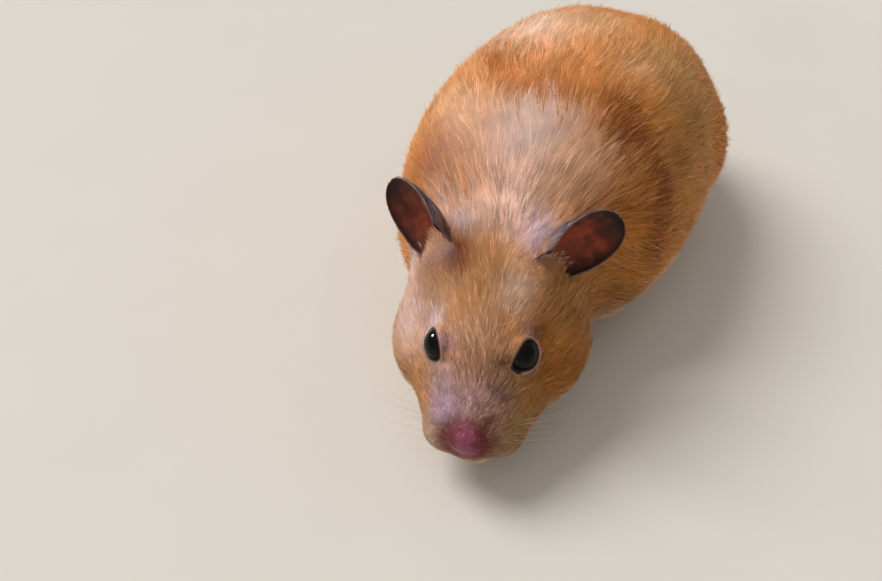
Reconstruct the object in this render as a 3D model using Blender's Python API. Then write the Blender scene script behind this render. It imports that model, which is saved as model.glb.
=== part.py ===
"""Syrian hamster, life size, a still display model.

The animal creeps forward with its head low and turned a little to its right, its body curving
back to its left. Metres in the scene, millimetres in the named sizes, +Z up. The animal faces -Y,
so its own left side is at +X. The floor is z = 0 and the origin is below the middle of its box.
"""

import math

import bmesh
import bpy
from mathutils import Matrix, Vector
from mathutils.bvhtree import BVHTree

MM = 0.001
GAP = 0.3
SIDES = {"left": 1, "right": -1}

# Trunk stations from neck to rump: middle line x, y and height of the widest level, then half
# width, rise to the back and drop to the belly.
TRUNK = {
    "nape": (-18.0, -35.0, 21.0, 14.0, 15.0, 12.0),
    "shoulder": (-14.6, -20.0, 23.0, 27.2, 26.0, 19.0),
    "chest": (-8.9, -5.0, 23.0, 32.4, 31.0, 20.5),
    "belly": (-2.2, 11.0, 22.0, 33.8, 33.0, 20.0),
    "loin": (5.4, 27.0, 21.5, 32.2, 32.3, 19.5),
    "croup": (13.3, 42.0, 20.5, 28.0, 28.2, 17.5),
    "seat": (19.8, 54.0, 19.0, 20.0, 20.0, 14.0),
    "tail_root": (22.0, 61.0, 17.0, 7.5, 8.0, 7.0),
}
TRUNK_SQUARENESS = 0.86

# Rounded masses laid on the trunk: station along it, outward, height, then radii.
TRUNK_MASSES = {
    "shoulder": (1.6, 14.5, 19.0, (14.0, 13.0, 16.0)),
    "haunch": (4.3, 13.6, 21.5, (23.5, 20.2, 19.6)),
}

# Head frame: its origin lies between the ears' roots, inside the skull.
HEAD_AT = Vector((-19.3, -33.5, 22.0))
HEAD_YAW = 11.0
HEAD_PITCH = 11.0
HEAD_ROLL = 4.0

# Head stations from neck to nose: distance forward, height of the widest level, half width,
# rise and drop.
SKULL = {
    "occiput": (-16.0, -1.0, 15.0, 17.0, 14.0),
    "ears": (-3.0, -2.0, 19.6, 19.0, 13.5),
    "brow": (8.0, -4.0, 18.4, 19.2, 11.5),
    "eyes": (18.0, -4.6, 15.4, 16.8, 10.0),
    "bridge": (25.0, -4.8, 12.6, 13.2, 8.6),
    "muzzle": (31.0, -4.4, 9.8, 9.6, 7.4),
    "lip": (34.4, -3.2, 7.2, 6.6, 6.0),
    "nose_tip": (36.6, -1.9, 3.4, 3.4, 3.4),
}
SKULL_SQUARENESS = 0.96
RING_SIDES = 40

# Rounded masses laid on each side of the head: forward, outward, up, then radii.
HEAD_MASSES = {
    "cheek": ((8.0, 8.2, -3.5), (16.0, 13.0, 11.5)),
    "whisker_pad": ((30.4, 4.8, -4.8), (5.6, 6.0, 5.0)),
    "eye_bed": ((18.6, 6.2, 4.6), (6.6, 4.3, 5.6)),
}
# Rounded masses on the head's middle line.
HEAD_MIDDLE = {
    "nape": ((-11.0, 0.0, 0.5), (17.0, 20.4, 19.5)),
    "chin": ((30.6, 0.0, -9.6), (5.2, 5.0, 3.0)),
}

BODY_VOXEL = 0.7
BODY_SMOOTHING = 20
BODY_TRIANGLES = 4400

# Eye, in the head frame, with the lids round its opening.
EYE_AT = (19.0, 7.4, 6.0)
EYE_RADIUS = 3.75
EYE_AXIS = (0.38, 0.70, 0.60)
EYE_LONG_WAY = (0.75, -0.30, -0.50)
LID_HALF_LENGTH = 3.35
LID_HALF_HEIGHT = 3.0
LID_STANDS_OUT = 0.3
LID_RADIUS = 0.6
LID_SEGMENTS = 24

# Nose pad and nostrils, in the head frame.
NOSE_AT = (35.8, 0.0, -0.4)
NOSE_RADII = (2.3, 3.2, 2.3)
NOSTRIL_AT = (37.5, 1.9, -0.6)
NOSTRIL_RADII = (1.1, 0.75, 0.42)

# Mouth line on the head's surface: forward, outward, up, from below the nose back along the lip.
MOUTH = (
    (38.0, 0.0, -4.2),
    (37.2, 0.0, -6.4),
    (36.2, 1.4, -7.8),
    (34.0, 3.8, -9.0),
    (31.0, 5.6, -10.0),
    (27.5, 7.2, -10.4),
)
MOUTH_RADIUS = 0.42

# Ear, in the head frame: a leaf curled about its own length, its hollow turned to its facing.
EAR_ROOT = {"left": (0.9, 7.9, 10.5), "right": (-1.7, 6.3, 11.7)}
EAR_AIM = {"left": (-0.36, 0.81, 0.46), "right": (-0.40, 0.79, 0.46)}
EAR_FACING = {"left": (0.80, 0.42, 0.16), "right": (0.80, 0.36, 0.24)}
EAR_LENGTH = 21.4
EAR_HALF_WIDTH = 8.2
EAR_ROOT_HALF_WIDTH = 3.6
EAR_TIP_HALF_WIDTH = 1.0
EAR_WIDEST = 0.54
EAR_THICKNESS = 0.8
EAR_CURL_ROOT = math.radians(190)
EAR_CURL_TIP = math.radians(45)
EAR_BOW = 1.3
EAR_ROWS = 9
EAR_COLUMNS = 8

# Forefoot and hind foot in their own frames: forward, outward, up. Toes: forward and outward of
# the root, turn outward in degrees, length.
FORE_PALM = ((-0.4, 0.0, 1.7), (3.6, 2.9, 2.1))
FORE_WRIST = ((-2.2, 0.0, 3.0), (2.6, 2.6, 2.6))
FORE_TOES = ((1.4, -1.9, -24, 3.6), (2.2, -0.75, -8, 4.2), (2.2, 0.75, 8, 4.1), (1.4, 1.9, 24, 3.4))
HIND_PALM = ((0.0, 0.0, 1.7), (6.6, 3.1, 2.0))
HIND_WRIST = ((-4.2, 0.0, 3.0), (3.2, 2.9, 3.0))
HIND_TOES = (
    (2.6, -2.5, -30, 3.4),
    (4.6, -1.5, -12, 4.4),
    (5.2, 0.0, 0, 4.7),
    (4.6, 1.5, 12, 4.4),
    (2.6, 2.5, 30, 3.4),
)
TOE_RADIUS = 0.82
TOE_KNUCKLE = 1.9
FOOT_VOXEL = 0.28
FOOT_TRIANGLES = 340
CLAW_LENGTH = 1.7
CLAW_RADII = (0.42, 0.34, 0.14)
CLAW_SIDES = 6

# Each foot on the floor: x, y and its turn from -Y to +X in degrees, with the limb that comes
# down to it as points and radii from inside the body.
FEET = {
    "fore_left": ((-7.6, -31.5), -10.0),
    "fore_right": ((-30.5, -30.0), -22.0),
    "hind_left": ((26.0, 22.0), -12.0),
    "hind_right": ((-11.5, 38.0), -32.0),
}
LIMBS = {
    "fore_left": (((-9.0, -17.0, 14.0), (-8.0, -25.5, 8.5), (-7.9, -29.3, 4.2)), (6.5, 4.4, 2.7)),
    "fore_right": (((-24.0, -15.0, 14.0), (-29.0, -24.0, 8.5), (-29.6, -27.8, 4.2)), (6.5, 4.4, 2.7)),
    "hind_left": (((24.0, 34.0, 14.0), (26.5, 28.0, 9.0), (26.8, 26.0, 5.0)), (9.0, 6.0, 3.4)),
    "hind_right": (((-6.0, 48.0, 14.0), (-9.5, 43.0, 9.0), (-9.8, 41.4, 5.0)), (9.0, 6.0, 3.4)),
}
# Volume of the body that belongs to each limb: centre, radii, turn as for its foot.
LIMB_SCOOPS = {
    "fore_left": ((-4.5, -21.5, 10.0), (9.5, 8.5, 11.5)),
    "fore_right": ((-31.0, -20.5, 10.0), (9.5, 8.5, 11.5)),
    "hind_left": ((31.5, 35.0, 14.5), (18.0, 13.5, 17.0)),
    "hind_right": ((-13.0, 47.0, 14.0), (17.0, 13.0, 17.0)),
}
LIMB_NAMES = {"fore": ("foreleg", "forefoot"), "hind": ("thigh", "hindfoot")}

TAIL = ((21.0, 56.0, 14.0), (24.0, 64.0, 12.5), (26.0, 68.5, 11.5), (27.6, 72.0, 11.2))
TAIL_RADII = (2.8, 2.3, 1.7, 1.0)

# Cuts across the body, each with its gap: the head's in the head frame, the others along the trunk.
HEAD_CUT = -7.5
NECK_CUT = 1.15
CHEST_CUT = 2.5
BELLY_CUT = 3.9

# Colour, roughness and whether it is wet or dry to the eye, for each kind of node.
COLOURS = {
    "coat": ((0.60, 0.27, 0.085), 0.85),
    "head": ((0.56, 0.26, 0.10), 0.85),
    "ear": ((0.16, 0.075, 0.06), 0.7),
    "eye": ((0.006, 0.005, 0.006), 0.08),
    "nose": ((0.52, 0.16, 0.20), 0.45),
    "skin": ((0.62, 0.36, 0.30), 0.6),
    "claw": ((0.70, 0.60, 0.50), 0.4),
}


def axes_toward(forward, up_hint=Vector((0, 0, 1))):
    """Rotation whose columns are forward, left and up."""
    forward = forward.normalized()
    left = up_hint.cross(forward).normalized()
    return Matrix((forward, left, forward.cross(left))).transposed()


def head_axes():
    yaw, pitch = math.radians(HEAD_YAW), math.radians(HEAD_PITCH)
    level = math.cos(pitch)
    forward = Vector((-math.sin(yaw) * level, -math.cos(yaw) * level, -math.sin(pitch)))
    return Matrix.Rotation(math.radians(HEAD_ROLL), 3, forward) @ axes_toward(forward)


HEAD_AXES = head_axes()


def head_point(forward, left, up):
    return HEAD_AT + HEAD_AXES @ Vector((forward, left, up))


def head_way(forward, left, up):
    return (HEAD_AXES @ Vector((forward, left, up))).normalized()


def turned_axes(degrees):
    """Axes of something on the floor whose forward is -Y turned toward +X."""
    turn = math.radians(degrees)
    return axes_toward(Vector((math.sin(turn), -math.cos(turn), 0)))


def catmull(values, at):
    """Smooth value of a list of vectors at a fractional index."""
    last = len(values) - 1
    i = min(int(at), last - 1)
    t = at - i
    before, a, b, after = (values[min(max(k, 0), last)] for k in (i - 1, i, i + 1, i + 2))
    return 0.5 * (
        2 * a
        + (b - before) * t
        + (2 * before - 5 * a + 4 * b - after) * t**2
        + (3 * a - before - 3 * b + after) * t**3
    )


def trunk_at(at):
    """Middle point, axes and the three reaches of the trunk at a fractional station."""
    rows = [Vector(row) for row in TRUNK.values()]
    row = catmull(rows, at)
    ahead = catmull(rows, max(at - 0.2, 0.0))
    behind = catmull(rows, min(at + 0.2, len(rows) - 1.0))
    axes = axes_toward(Vector((ahead[0] - behind[0], ahead[1] - behind[1], 0)))
    return Vector(row[:3]), axes, row[3:]


def mesh_object(name, builder):
    """A linked object from a bmesh worked in millimetres."""
    work = bmesh.new()
    builder(work)
    bmesh.ops.scale(work, vec=(MM, MM, MM), verts=work.verts)
    data = bpy.data.meshes.new(name)
    work.to_mesh(data)
    work.free()
    made = bpy.data.objects.new(name, data)
    bpy.context.scene.collection.objects.link(made)
    return made


def cross_ring(centre, axes, reaches, squareness):
    """Points round one cross-section, at right angles to the forward axis."""
    half_width, rise, drop = reaches
    points = []
    for i in range(RING_SIDES):
        turn = 2 * math.pi * i / RING_SIDES
        side, height = math.cos(turn), math.sin(turn)
        side = math.copysign(abs(side) ** squareness, side) * half_width
        height = math.copysign(abs(height) ** squareness, height) * (rise if height > 0 else drop)
        points.append(centre + axes @ Vector((0, side, height)))
    return points


def add_loft(work, rings):
    """A closed skin through rings of points, with flat ends."""
    loops = [[work.verts.new(p) for p in points] for points in rings]
    made = []
    for near, far in zip(loops, loops[1:]):
        for i in range(len(near)):
            j = (i + 1) % len(near)
            made.append(work.faces.new((near[i], near[j], far[j], far[i])))
    made.append(work.faces.new(loops[0][::-1]))
    made.append(work.faces.new(loops[-1]))
    bmesh.ops.recalc_face_normals(work, faces=made)


def add_ellipsoid(work, centre, axes, radii, detail=3):
    place = Matrix.LocRotScale(Vector(centre), axes.to_quaternion(), Vector(radii))
    bmesh.ops.create_icosphere(work, subdivisions=detail, radius=1.0, matrix=place)


def circle(centre, way, radius, sides):
    up_hint = Vector((0, 1, 0)) if abs(way.normalized().z) > 0.8 else Vector((0, 0, 1))
    axes = axes_toward(way, up_hint)
    turns = (2 * math.pi * i / sides for i in range(sides))
    return [centre + axes @ Vector((0, math.cos(a), math.sin(a))) * radius for a in turns]


def add_tube(work, points, radii, sides=12, steps=3, ends=True):
    """A round tube along a smooth line, with a radius at each point."""
    rows = [Vector((*p, r)) for p, r in zip(points, radii)]
    count = steps * (len(rows) - 1)
    line = [catmull(rows, k * (len(rows) - 1) / count) for k in range(count + 1)]
    rings = []
    for k, row in enumerate(line):
        way = Vector(line[min(k + 1, count)][:3]) - Vector(line[max(k - 1, 0)][:3])
        rings.append(circle(Vector(row[:3]), way, row[3], sides))
    add_loft(work, rings)
    if ends:
        for row in (line[0], line[-1]):
            add_ellipsoid(work, row[:3], Matrix.Identity(3), (row[3],) * 3, 2)


def add_closed_tube(work, points, radius, sides=5):
    """A round tube along a closed loop of points."""
    count = len(points)
    middle = sum(points, Vector()) / count
    rings = []
    for k, point in enumerate(points):
        way = (points[(k + 1) % count] - points[k - 1]).normalized()
        axes = axes_toward(way, (point - middle).normalized())
        turns = (2 * math.pi * i / sides for i in range(sides))
        ring = [axes @ Vector((0, math.cos(a), math.sin(a))) * radius for a in turns]
        rings.append([work.verts.new(point + offset) for offset in ring])
    made = []
    for k, near in enumerate(rings):
        far = rings[(k + 1) % count]
        for i in range(sides):
            j = (i + 1) % sides
            made.append(work.faces.new((near[i], near[j], far[j], far[i])))
    bmesh.ops.recalc_face_normals(work, faces=made)


def ellipsoid_object(name, centre, axes, radii, detail=3):
    return mesh_object(name, lambda work: add_ellipsoid(work, centre, axes, radii, detail))


def vertex_groups(work):
    """The connected pieces of a bmesh, smallest first."""
    groups, left = [], set(work.verts)
    while left:
        edge = [left.pop()]
        group = set(edge)
        while edge:
            for link in edge.pop().link_edges:
                for other in link.verts:
                    if other in left:
                        left.remove(other)
                        group.add(other)
                        edge.append(other)
        groups.append(group)
    return sorted(groups, key=len)


def settled(made):
    """Applies an object's modifiers and keeps only its largest closed surface."""
    graph = bpy.context.evaluated_depsgraph_get()
    data = bpy.data.meshes.new_from_object(made.evaluated_get(graph))
    made.modifiers.clear()
    made.data = data
    work = bmesh.new()
    work.from_mesh(data)
    for group in vertex_groups(work)[:-1]:
        bmesh.ops.delete(work, geom=list(group), context="VERTS")
    work.to_mesh(data)
    work.free()
    return made


def fused(made, voxel, smoothing, triangles):
    """One even skin over an object's overlapping shapes, smoothed and thinned to a face count."""
    remesh = made.modifiers.new("fuse", "REMESH")
    remesh.mode = "VOXEL"
    remesh.voxel_size = voxel * MM
    smooth = made.modifiers.new("soften", "SMOOTH")
    smooth.factor = 0.5
    smooth.iterations = smoothing
    settled(made)
    thin = made.modifiers.new("thin", "DECIMATE")
    thin.ratio = triangles / (2 * len(made.data.polygons))
    thin.use_collapse_triangulate = True
    return settled(made)


def copied(made, name):
    twin = made.copy()
    twin.data = made.data.copy()
    twin.name = name
    bpy.context.scene.collection.objects.link(twin)
    return twin


def cut(made, cutter, operation="DIFFERENCE", keep_cutter=False):
    boolean = made.modifiers.new("cut", "BOOLEAN")
    boolean.operation = operation
    boolean.object = cutter
    settled(made)
    if not keep_cutter:
        bpy.data.objects.remove(cutter)
    return made


def swollen(made, distance):
    """A helper copy grown outward along its normals."""
    twin = copied(made, "swollen")
    grow = twin.modifiers.new("grow", "DISPLACE")
    grow.mid_level = 0.0
    grow.strength = distance * MM
    return settled(twin)


def half_space(point, way):
    """A large block that fills the side of a plane that the way points to."""
    reach = 150.0
    axes = axes_toward(way)
    place = Matrix.LocRotScale(point + axes.col[0] * reach, axes.to_quaternion(), Vector((1, 1, 1)))

    def block(work):
        bmesh.ops.create_cube(work, size=2 * reach, matrix=place)

    return mesh_object("half_space", block)


def split(made, point, way, name):
    """Cuts off, as a new object, the part that the way points to, and leaves the gap between."""
    ahead = copied(made, name)
    cut(ahead, half_space(point + way * GAP / 2, -way))
    cut(made, half_space(point - way * GAP / 2, way))
    return ahead


def scooped(made, name, centre, axes, radii):
    """Takes an ellipsoid of an object out of it as a new object, with the gap round it."""
    inner = [r - GAP / 2 for r in radii]
    outer = [r + GAP / 2 for r in radii]
    taken = copied(made, name)
    cut(taken, ellipsoid_object("scoop", centre, axes, inner), "INTERSECT")
    cut(made, ellipsoid_object("scoop", centre, axes, outer))
    return taken


def finder_of(made):
    return BVHTree.FromObject(made, bpy.context.evaluated_depsgraph_get())


def on_surface(finder, point):
    """The nearest point of a surface, in millimetres."""
    return finder.find_nearest(point * MM)[0] / MM


def build_body():
    """Trunk, head and upper limbs as one skin."""

    def shapes(work):
        count = 5 * (len(TRUNK) - 1)
        rings = []
        for k in range(count + 1):
            centre, axes, reaches = trunk_at(k * (len(TRUNK) - 1) / count)
            rings.append(cross_ring(centre, axes, reaches, TRUNK_SQUARENESS))
        add_loft(work, rings)
        rows = [Vector(row) for row in SKULL.values()]
        count = 4 * (len(rows) - 1)
        rings = []
        for k in range(count + 1):
            row = catmull(rows, k * (len(rows) - 1) / count)
            middle = head_point(row[0], 0, row[1])
            rings.append(cross_ring(middle, HEAD_AXES, row[2:], SKULL_SQUARENESS))
        add_loft(work, rings)
        for place, radii in HEAD_MIDDLE.values():
            add_ellipsoid(work, head_point(*place), HEAD_AXES, radii)
        for side in SIDES.values():
            for (forward, out, up), radii in HEAD_MASSES.values():
                add_ellipsoid(work, head_point(forward, side * out, up), HEAD_AXES, radii)
            for at, out, height, radii in TRUNK_MASSES.values():
                centre, axes, _ = trunk_at(at)
                spot = centre + axes @ Vector((0, side * out, 0))
                add_ellipsoid(work, (spot.x, spot.y, height), axes, radii)
        for points, radii in LIMBS.values():
            add_tube(work, points, radii)

    return fused(mesh_object("rump", shapes), BODY_VOXEL, BODY_SMOOTHING, BODY_TRIANGLES)


def foot_parts(key):
    """Palm, wrist and toes of a foot."""
    if key.startswith("fore"):
        return FORE_PALM, FORE_WRIST, FORE_TOES
    return HIND_PALM, HIND_WRIST, HIND_TOES


def foot_frame(key):
    """Turns a point of a foot's own frame into the model, and gives the foot's axes."""
    (x, y), turn = FEET[key]
    side = SIDES[key.split("_")[1]]
    axes = turned_axes(turn)

    def place(forward, out, up):
        return Vector((x, y, 0)) + axes @ Vector((forward, side * out, up))

    return place, axes


def toe_line(toe):
    """Root, knuckle and tip of a toe in the foot's frame, and the way it points."""
    forward, out, turn, length = toe
    way = Vector((math.cos(math.radians(turn)), math.sin(math.radians(turn)), 0))
    root = Vector((forward, out, 1.5)) - way * 1.5
    knuckle = root + way * (0.55 * length + 1.5)
    tip = root + way * (length + 1.5)
    knuckle.z = TOE_KNUCKLE
    tip.z = TOE_RADIUS
    return root, knuckle, tip, way


def build_foot(key):
    """A foot flat on the floor, with its claws as separate nodes."""
    palm, wrist, toes = foot_parts(key)
    place, axes = foot_frame(key)

    def shapes(work):
        for centre, radii in (palm, wrist):
            add_ellipsoid(work, place(*centre), axes, radii)
        for toe in toes:
            points = [place(*p) for p in toe_line(toe)[:3]]
            add_tube(work, points, [TOE_RADIUS * k for k in (1.1, 1.0, 0.85)], 10)

    limb, side = key.split("_")
    foot = mesh_object(f"{LIMB_NAMES[limb][1]}_{side}", shapes)
    fused(foot, FOOT_VOXEL, 3, FOOT_TRIANGLES)
    cut(foot, half_space(Vector((0, 0, 0)), Vector((0, 0, -1))))
    for number, toe in enumerate(toes, 1):
        _, _, tip, way = toe_line(toe)
        start = tip + way * (TOE_RADIUS * 0.85 + GAP)
        line = (
            start + Vector((0, 0, 0.15)),
            start + way * CLAW_LENGTH * 0.55 + Vector((0, 0, 0.1)),
            start + way * CLAW_LENGTH - Vector((0, 0, 0.35)),
        )

        def claw(work, line=line):
            add_tube(work, [place(*p) for p in line], CLAW_RADII, CLAW_SIDES, 1, ends=False)

        mesh_object(f"claw_{limb}_{side}_{number}", claw)
    return foot


def foot_hollow(foot):
    """What a foot takes out of the body above it: its hull grown by the gap."""
    hull = copied(foot, "hollow")
    work = bmesh.new()
    work.from_mesh(hull.data)
    found = bmesh.ops.convex_hull(work, input=work.verts)
    spare = [v for v in found["geom_interior"] if isinstance(v, bmesh.types.BMVert)]
    bmesh.ops.delete(work, geom=spare, context="VERTS")
    loose = [f for f in work.faces if f not in set(found["geom"])]
    bmesh.ops.delete(work, geom=loose, context="FACES_ONLY")
    work.to_mesh(hull.data)
    work.free()
    grow = hull.modifiers.new("grow", "DISPLACE")
    grow.mid_level = 0.0
    grow.strength = 1.15 * GAP * MM
    return settled(hull)


def lid_points(side):
    """The almond line of the lids round one eye."""
    centre = head_point(EYE_AT[0], side * EYE_AT[1], EYE_AT[2])
    axis = head_way(EYE_AXIS[0], side * EYE_AXIS[1], EYE_AXIS[2])
    along = head_way(EYE_LONG_WAY[0], side * EYE_LONG_WAY[1], EYE_LONG_WAY[2])
    along = (along - axis * along.dot(axis)).normalized()
    across = axis.cross(along)
    reach = EYE_RADIUS + LID_STANDS_OUT
    points = []
    for i in range(LID_SEGMENTS):
        turn = 2 * math.pi * i / LID_SEGMENTS
        a = math.cos(turn) * LID_HALF_LENGTH
        b = math.sin(turn) * LID_HALF_HEIGHT * (1 - 0.18 * math.cos(turn) ** 4)
        out = math.sqrt(reach**2 - a * a - b * b)
        points.append(centre + axis * out + along * a + across * b)
    return points


def build_eyes(head):
    for name, side in SIDES.items():
        centre = head_point(EYE_AT[0], side * EYE_AT[1], EYE_AT[2])
        points = lid_points(side)
        lids = mesh_object("lids", lambda work: add_closed_tube(work, points, LID_RADIUS))
        cut(head, lids, "UNION")
        radii = (EYE_RADIUS + GAP,) * 3
        cut(head, ellipsoid_object("socket", centre, HEAD_AXES, radii))
        ellipsoid_object(f"eye_{name}", centre, HEAD_AXES, (EYE_RADIUS,) * 3, 3)


def build_nose(head):
    centre = head_point(*NOSE_AT)
    grown = [r + GAP for r in NOSE_RADII]
    cut(head, ellipsoid_object("nose_bed", centre, HEAD_AXES, grown))
    nose = ellipsoid_object("nose", centre, HEAD_AXES, NOSE_RADII, 3)
    for side in SIDES.values():
        spot = head_point(NOSTRIL_AT[0], side * NOSTRIL_AT[1], NOSTRIL_AT[2])
        cut(nose, ellipsoid_object("nostril", spot, HEAD_AXES, NOSTRIL_RADII, 2))


def build_mouth(head):
    """A groove between the lips, split below the nose."""
    finder = finder_of(head)
    half = [on_surface(finder, head_point(*p)) for p in MOUTH]
    other = [on_surface(finder, head_point(f, -o, u)) for f, o, u in MOUTH[1:]]
    lines = (half, other)
    for line in lines:
        radii = [MOUTH_RADIUS] * (len(line) - 1) + [0.6 * MOUTH_RADIUS]

        def groove(work, line=line, radii=radii):
            add_tube(work, line, radii, 6, 2, ends=False)

        cut(head, mesh_object("groove", groove))


def ear_half_width(at):
    if at < EAR_WIDEST:
        share = math.sin(0.5 * math.pi * at / EAR_WIDEST)
        return EAR_ROOT_HALF_WIDTH + (EAR_HALF_WIDTH - EAR_ROOT_HALF_WIDTH) * share
    past = (at - EAR_WIDEST) / (1 - EAR_WIDEST)
    return max(EAR_HALF_WIDTH * math.sqrt(max(1 - past**2.2, 0)), EAR_TIP_HALF_WIDTH)


def build_ear(name, side, head):
    """A curled leaf with two faces, its root set in the head."""
    mirrored = Vector((1, side, 1))
    aim = head_way(*(Vector(EAR_AIM[name]) * mirrored))
    facing = head_way(*(Vector(EAR_FACING[name]) * mirrored))
    facing = (facing - aim * facing.dot(aim)).normalized()
    across = aim.cross(facing)
    root = head_point(*(Vector(EAR_ROOT[name]) * mirrored))

    def point(at, v, offset):
        half = ear_half_width(at)
        bend = (EAR_CURL_ROOT + (EAR_CURL_TIP - EAR_CURL_ROOT) * at) / 2
        radius = half / bend
        angle = v * bend
        spine = root + aim * EAR_LENGTH * at - facing * EAR_BOW * 4 * at * (1 - at)
        inward = radius - (radius + offset) * math.cos(angle)
        return spine + facing * inward + across * (radius + offset) * math.sin(angle)

    def leaf(work):
        sheets = []
        for offset in (-EAR_THICKNESS / 2, EAR_THICKNESS / 2):
            rows = []
            for i in range(EAR_ROWS + 1):
                at = 1 - (1 - i / EAR_ROWS) ** 1.5
                turns = [2 * j / EAR_COLUMNS - 1 for j in range(EAR_COLUMNS + 1)]
                rows.append([work.verts.new(point(at, v, offset)) for v in turns])
            sheets.append(rows)
        inner, outer = sheets
        for i in range(EAR_ROWS):
            for j in range(EAR_COLUMNS):
                for rows in sheets:
                    work.faces.new((rows[i][j], rows[i + 1][j], rows[i + 1][j + 1], rows[i][j + 1]))
            for j in (0, EAR_COLUMNS):
                work.faces.new((inner[i][j], inner[i + 1][j], outer[i + 1][j], outer[i][j]))
        for i in (0, EAR_ROWS):
            for j in range(EAR_COLUMNS):
                work.faces.new((inner[i][j], inner[i][j + 1], outer[i][j + 1], outer[i][j]))
        bmesh.ops.recalc_face_normals(work, faces=work.faces)

    ear = mesh_object(f"ear_{name}", leaf)
    return cut(ear, swollen(head, GAP))


def build_tail(rump):
    tail = mesh_object("tail", lambda work: add_tube(work, TAIL, TAIL_RADII, 12, 3, ends=False))
    return cut(tail, swollen(rump, GAP))


def dress(made):
    """Gives an object its own material, by the kind of node."""
    kinds = {"head": "head", "neck": "coat", "chest": "coat", "belly": "coat", "rump": "coat"}
    kind = kinds.get(made.name, made.name.split("_")[0])
    kind = {"foreleg": "coat", "thigh": "coat", "forefoot": "skin", "hindfoot": "skin"}.get(kind, kind)
    kind = "skin" if kind == "tail" else kind
    colour, roughness = COLOURS[kind]
    material = bpy.data.materials.new(f"{made.name}_{kind}")
    material.use_nodes = True
    shader = next(n for n in material.node_tree.nodes if n.type == "BSDF_PRINCIPLED")
    shader.inputs["Base Color"].default_value = (*colour, 1.0)
    shader.inputs["Roughness"].default_value = roughness
    shader.inputs["Metallic"].default_value = 0.0
    made.data.materials.clear()
    made.data.materials.append(material)


def centre_model():
    """Moves everything so that the origin is below the middle of the box."""
    made = [o for o in bpy.context.scene.objects if o.type == "MESH"]
    xs = [v.co.x for o in made for v in o.data.vertices]
    ys = [v.co.y for o in made for v in o.data.vertices]
    shift = Vector((-(min(xs) + max(xs)) / 2, -(min(ys) + max(ys)) / 2, 0))
    for o in made:
        o.data.transform(Matrix.Translation(shift))
    return shift


def build():
    for old in list(bpy.data.objects):
        bpy.data.objects.remove(old)
    rump = build_body()
    for key in FEET:
        cut(rump, foot_hollow(build_foot(key)))
    for key, (centre, radii) in LIMB_SCOOPS.items():
        limb, side = key.split("_")
        scooped(rump, f"{LIMB_NAMES[limb][0]}_{side}", centre, turned_axes(FEET[key][1]), radii)
    head = split(rump, head_point(HEAD_CUT, 0, 0), head_way(1, 0, 0), "head")
    for name, at in (("neck", NECK_CUT), ("chest", CHEST_CUT), ("belly", BELLY_CUT)):
        centre, axes, _ = trunk_at(at)
        split(rump, centre, axes.col[0], name)
    build_tail(rump)
    for name, side in SIDES.items():
        build_ear(name, side, head)
    build_nose(head)
    build_mouth(head)
    build_eyes(head)
    for made in bpy.context.scene.objects:
        dress(made)
    centre_model()


build()
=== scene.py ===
"""Looks of a life-size syrian hamster, laid out as a Blender add-on and run as a script.

One skin with lids, nose, lips and thin ears stands for the solids of flesh, and a short dense
coat of tufted hairs lies over it. Eyes, claws and whiskers are pieces of their own. Lengths are
in millimetres until a mesh is made. The animal faces -Y, so its own left side is at +X.
"""

import math

import bmesh
import bpy
import numpy as np
from bpy.props import FloatProperty, FloatVectorProperty, IntProperty, PointerProperty
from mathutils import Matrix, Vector, noise
from mathutils.bvhtree import BVHTree
from mathutils.kdtree import KDTree


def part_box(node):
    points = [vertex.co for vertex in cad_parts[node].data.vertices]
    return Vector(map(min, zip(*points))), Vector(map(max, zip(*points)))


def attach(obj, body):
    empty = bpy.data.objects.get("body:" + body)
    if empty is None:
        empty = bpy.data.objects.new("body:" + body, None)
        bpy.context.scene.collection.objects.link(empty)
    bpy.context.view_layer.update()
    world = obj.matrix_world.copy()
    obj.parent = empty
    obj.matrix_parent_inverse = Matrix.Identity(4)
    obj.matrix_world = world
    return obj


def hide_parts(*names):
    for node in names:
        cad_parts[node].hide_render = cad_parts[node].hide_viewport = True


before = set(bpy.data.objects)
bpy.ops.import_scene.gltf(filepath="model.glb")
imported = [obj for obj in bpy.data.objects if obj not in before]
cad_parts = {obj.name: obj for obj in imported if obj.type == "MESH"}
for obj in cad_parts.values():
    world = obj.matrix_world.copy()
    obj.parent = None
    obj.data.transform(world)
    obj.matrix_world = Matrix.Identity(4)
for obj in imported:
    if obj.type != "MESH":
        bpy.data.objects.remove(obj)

bl_info = {
    "name": "Syrian Hamster",
    "version": (1, 0, 0),
    "blender": (4, 5, 0),
    "location": "View3D > Sidebar > Hamster",
    "description": "Skin, coat, eyes, ears, claws and whiskers of a life-size syrian hamster",
    "category": "Add Mesh",
}

MM = 0.001
SIDES = {"left": 1, "right": -1}
FEET = ("forefoot_left", "forefoot_right", "hindfoot_left", "hindfoot_right")
EARS = ("ear_left", "ear_right")
EYES = ("eye_left", "eye_right")
CLAWS = tuple(sorted(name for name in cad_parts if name.startswith("claw_")))
FLESH = tuple(sorted(set(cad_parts) - set(EARS) - set(EYES) - set(CLAWS)))

# Skin: how close corners of the solids are joined, how far the solids are grown to close their
# gaps, then the grain of the skin and its lowest point. Last, how many times its faces are split
# round the nose and the eyes, and how far out.
WELD_GAP = 0.01
GAP_CLOSING = 0.35
SKIN_VOXEL = 0.6
SKIN_SMOOTHING = 14
SKIN_FLOOR = 0.15
FINE_ROUNDS = 2
FINE_NOSE_REACH = 9.5
FINE_EYE_REACH = 7.5

# Head frame, from the eyes and the nose: how far its origin lies behind and below the eyes, and
# how far the nose lies below the head's own forward line, in degrees.
EYES_AHEAD = 19.0
EYES_ABOVE = 6.0
NOSE_DIP = 20.85

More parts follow.
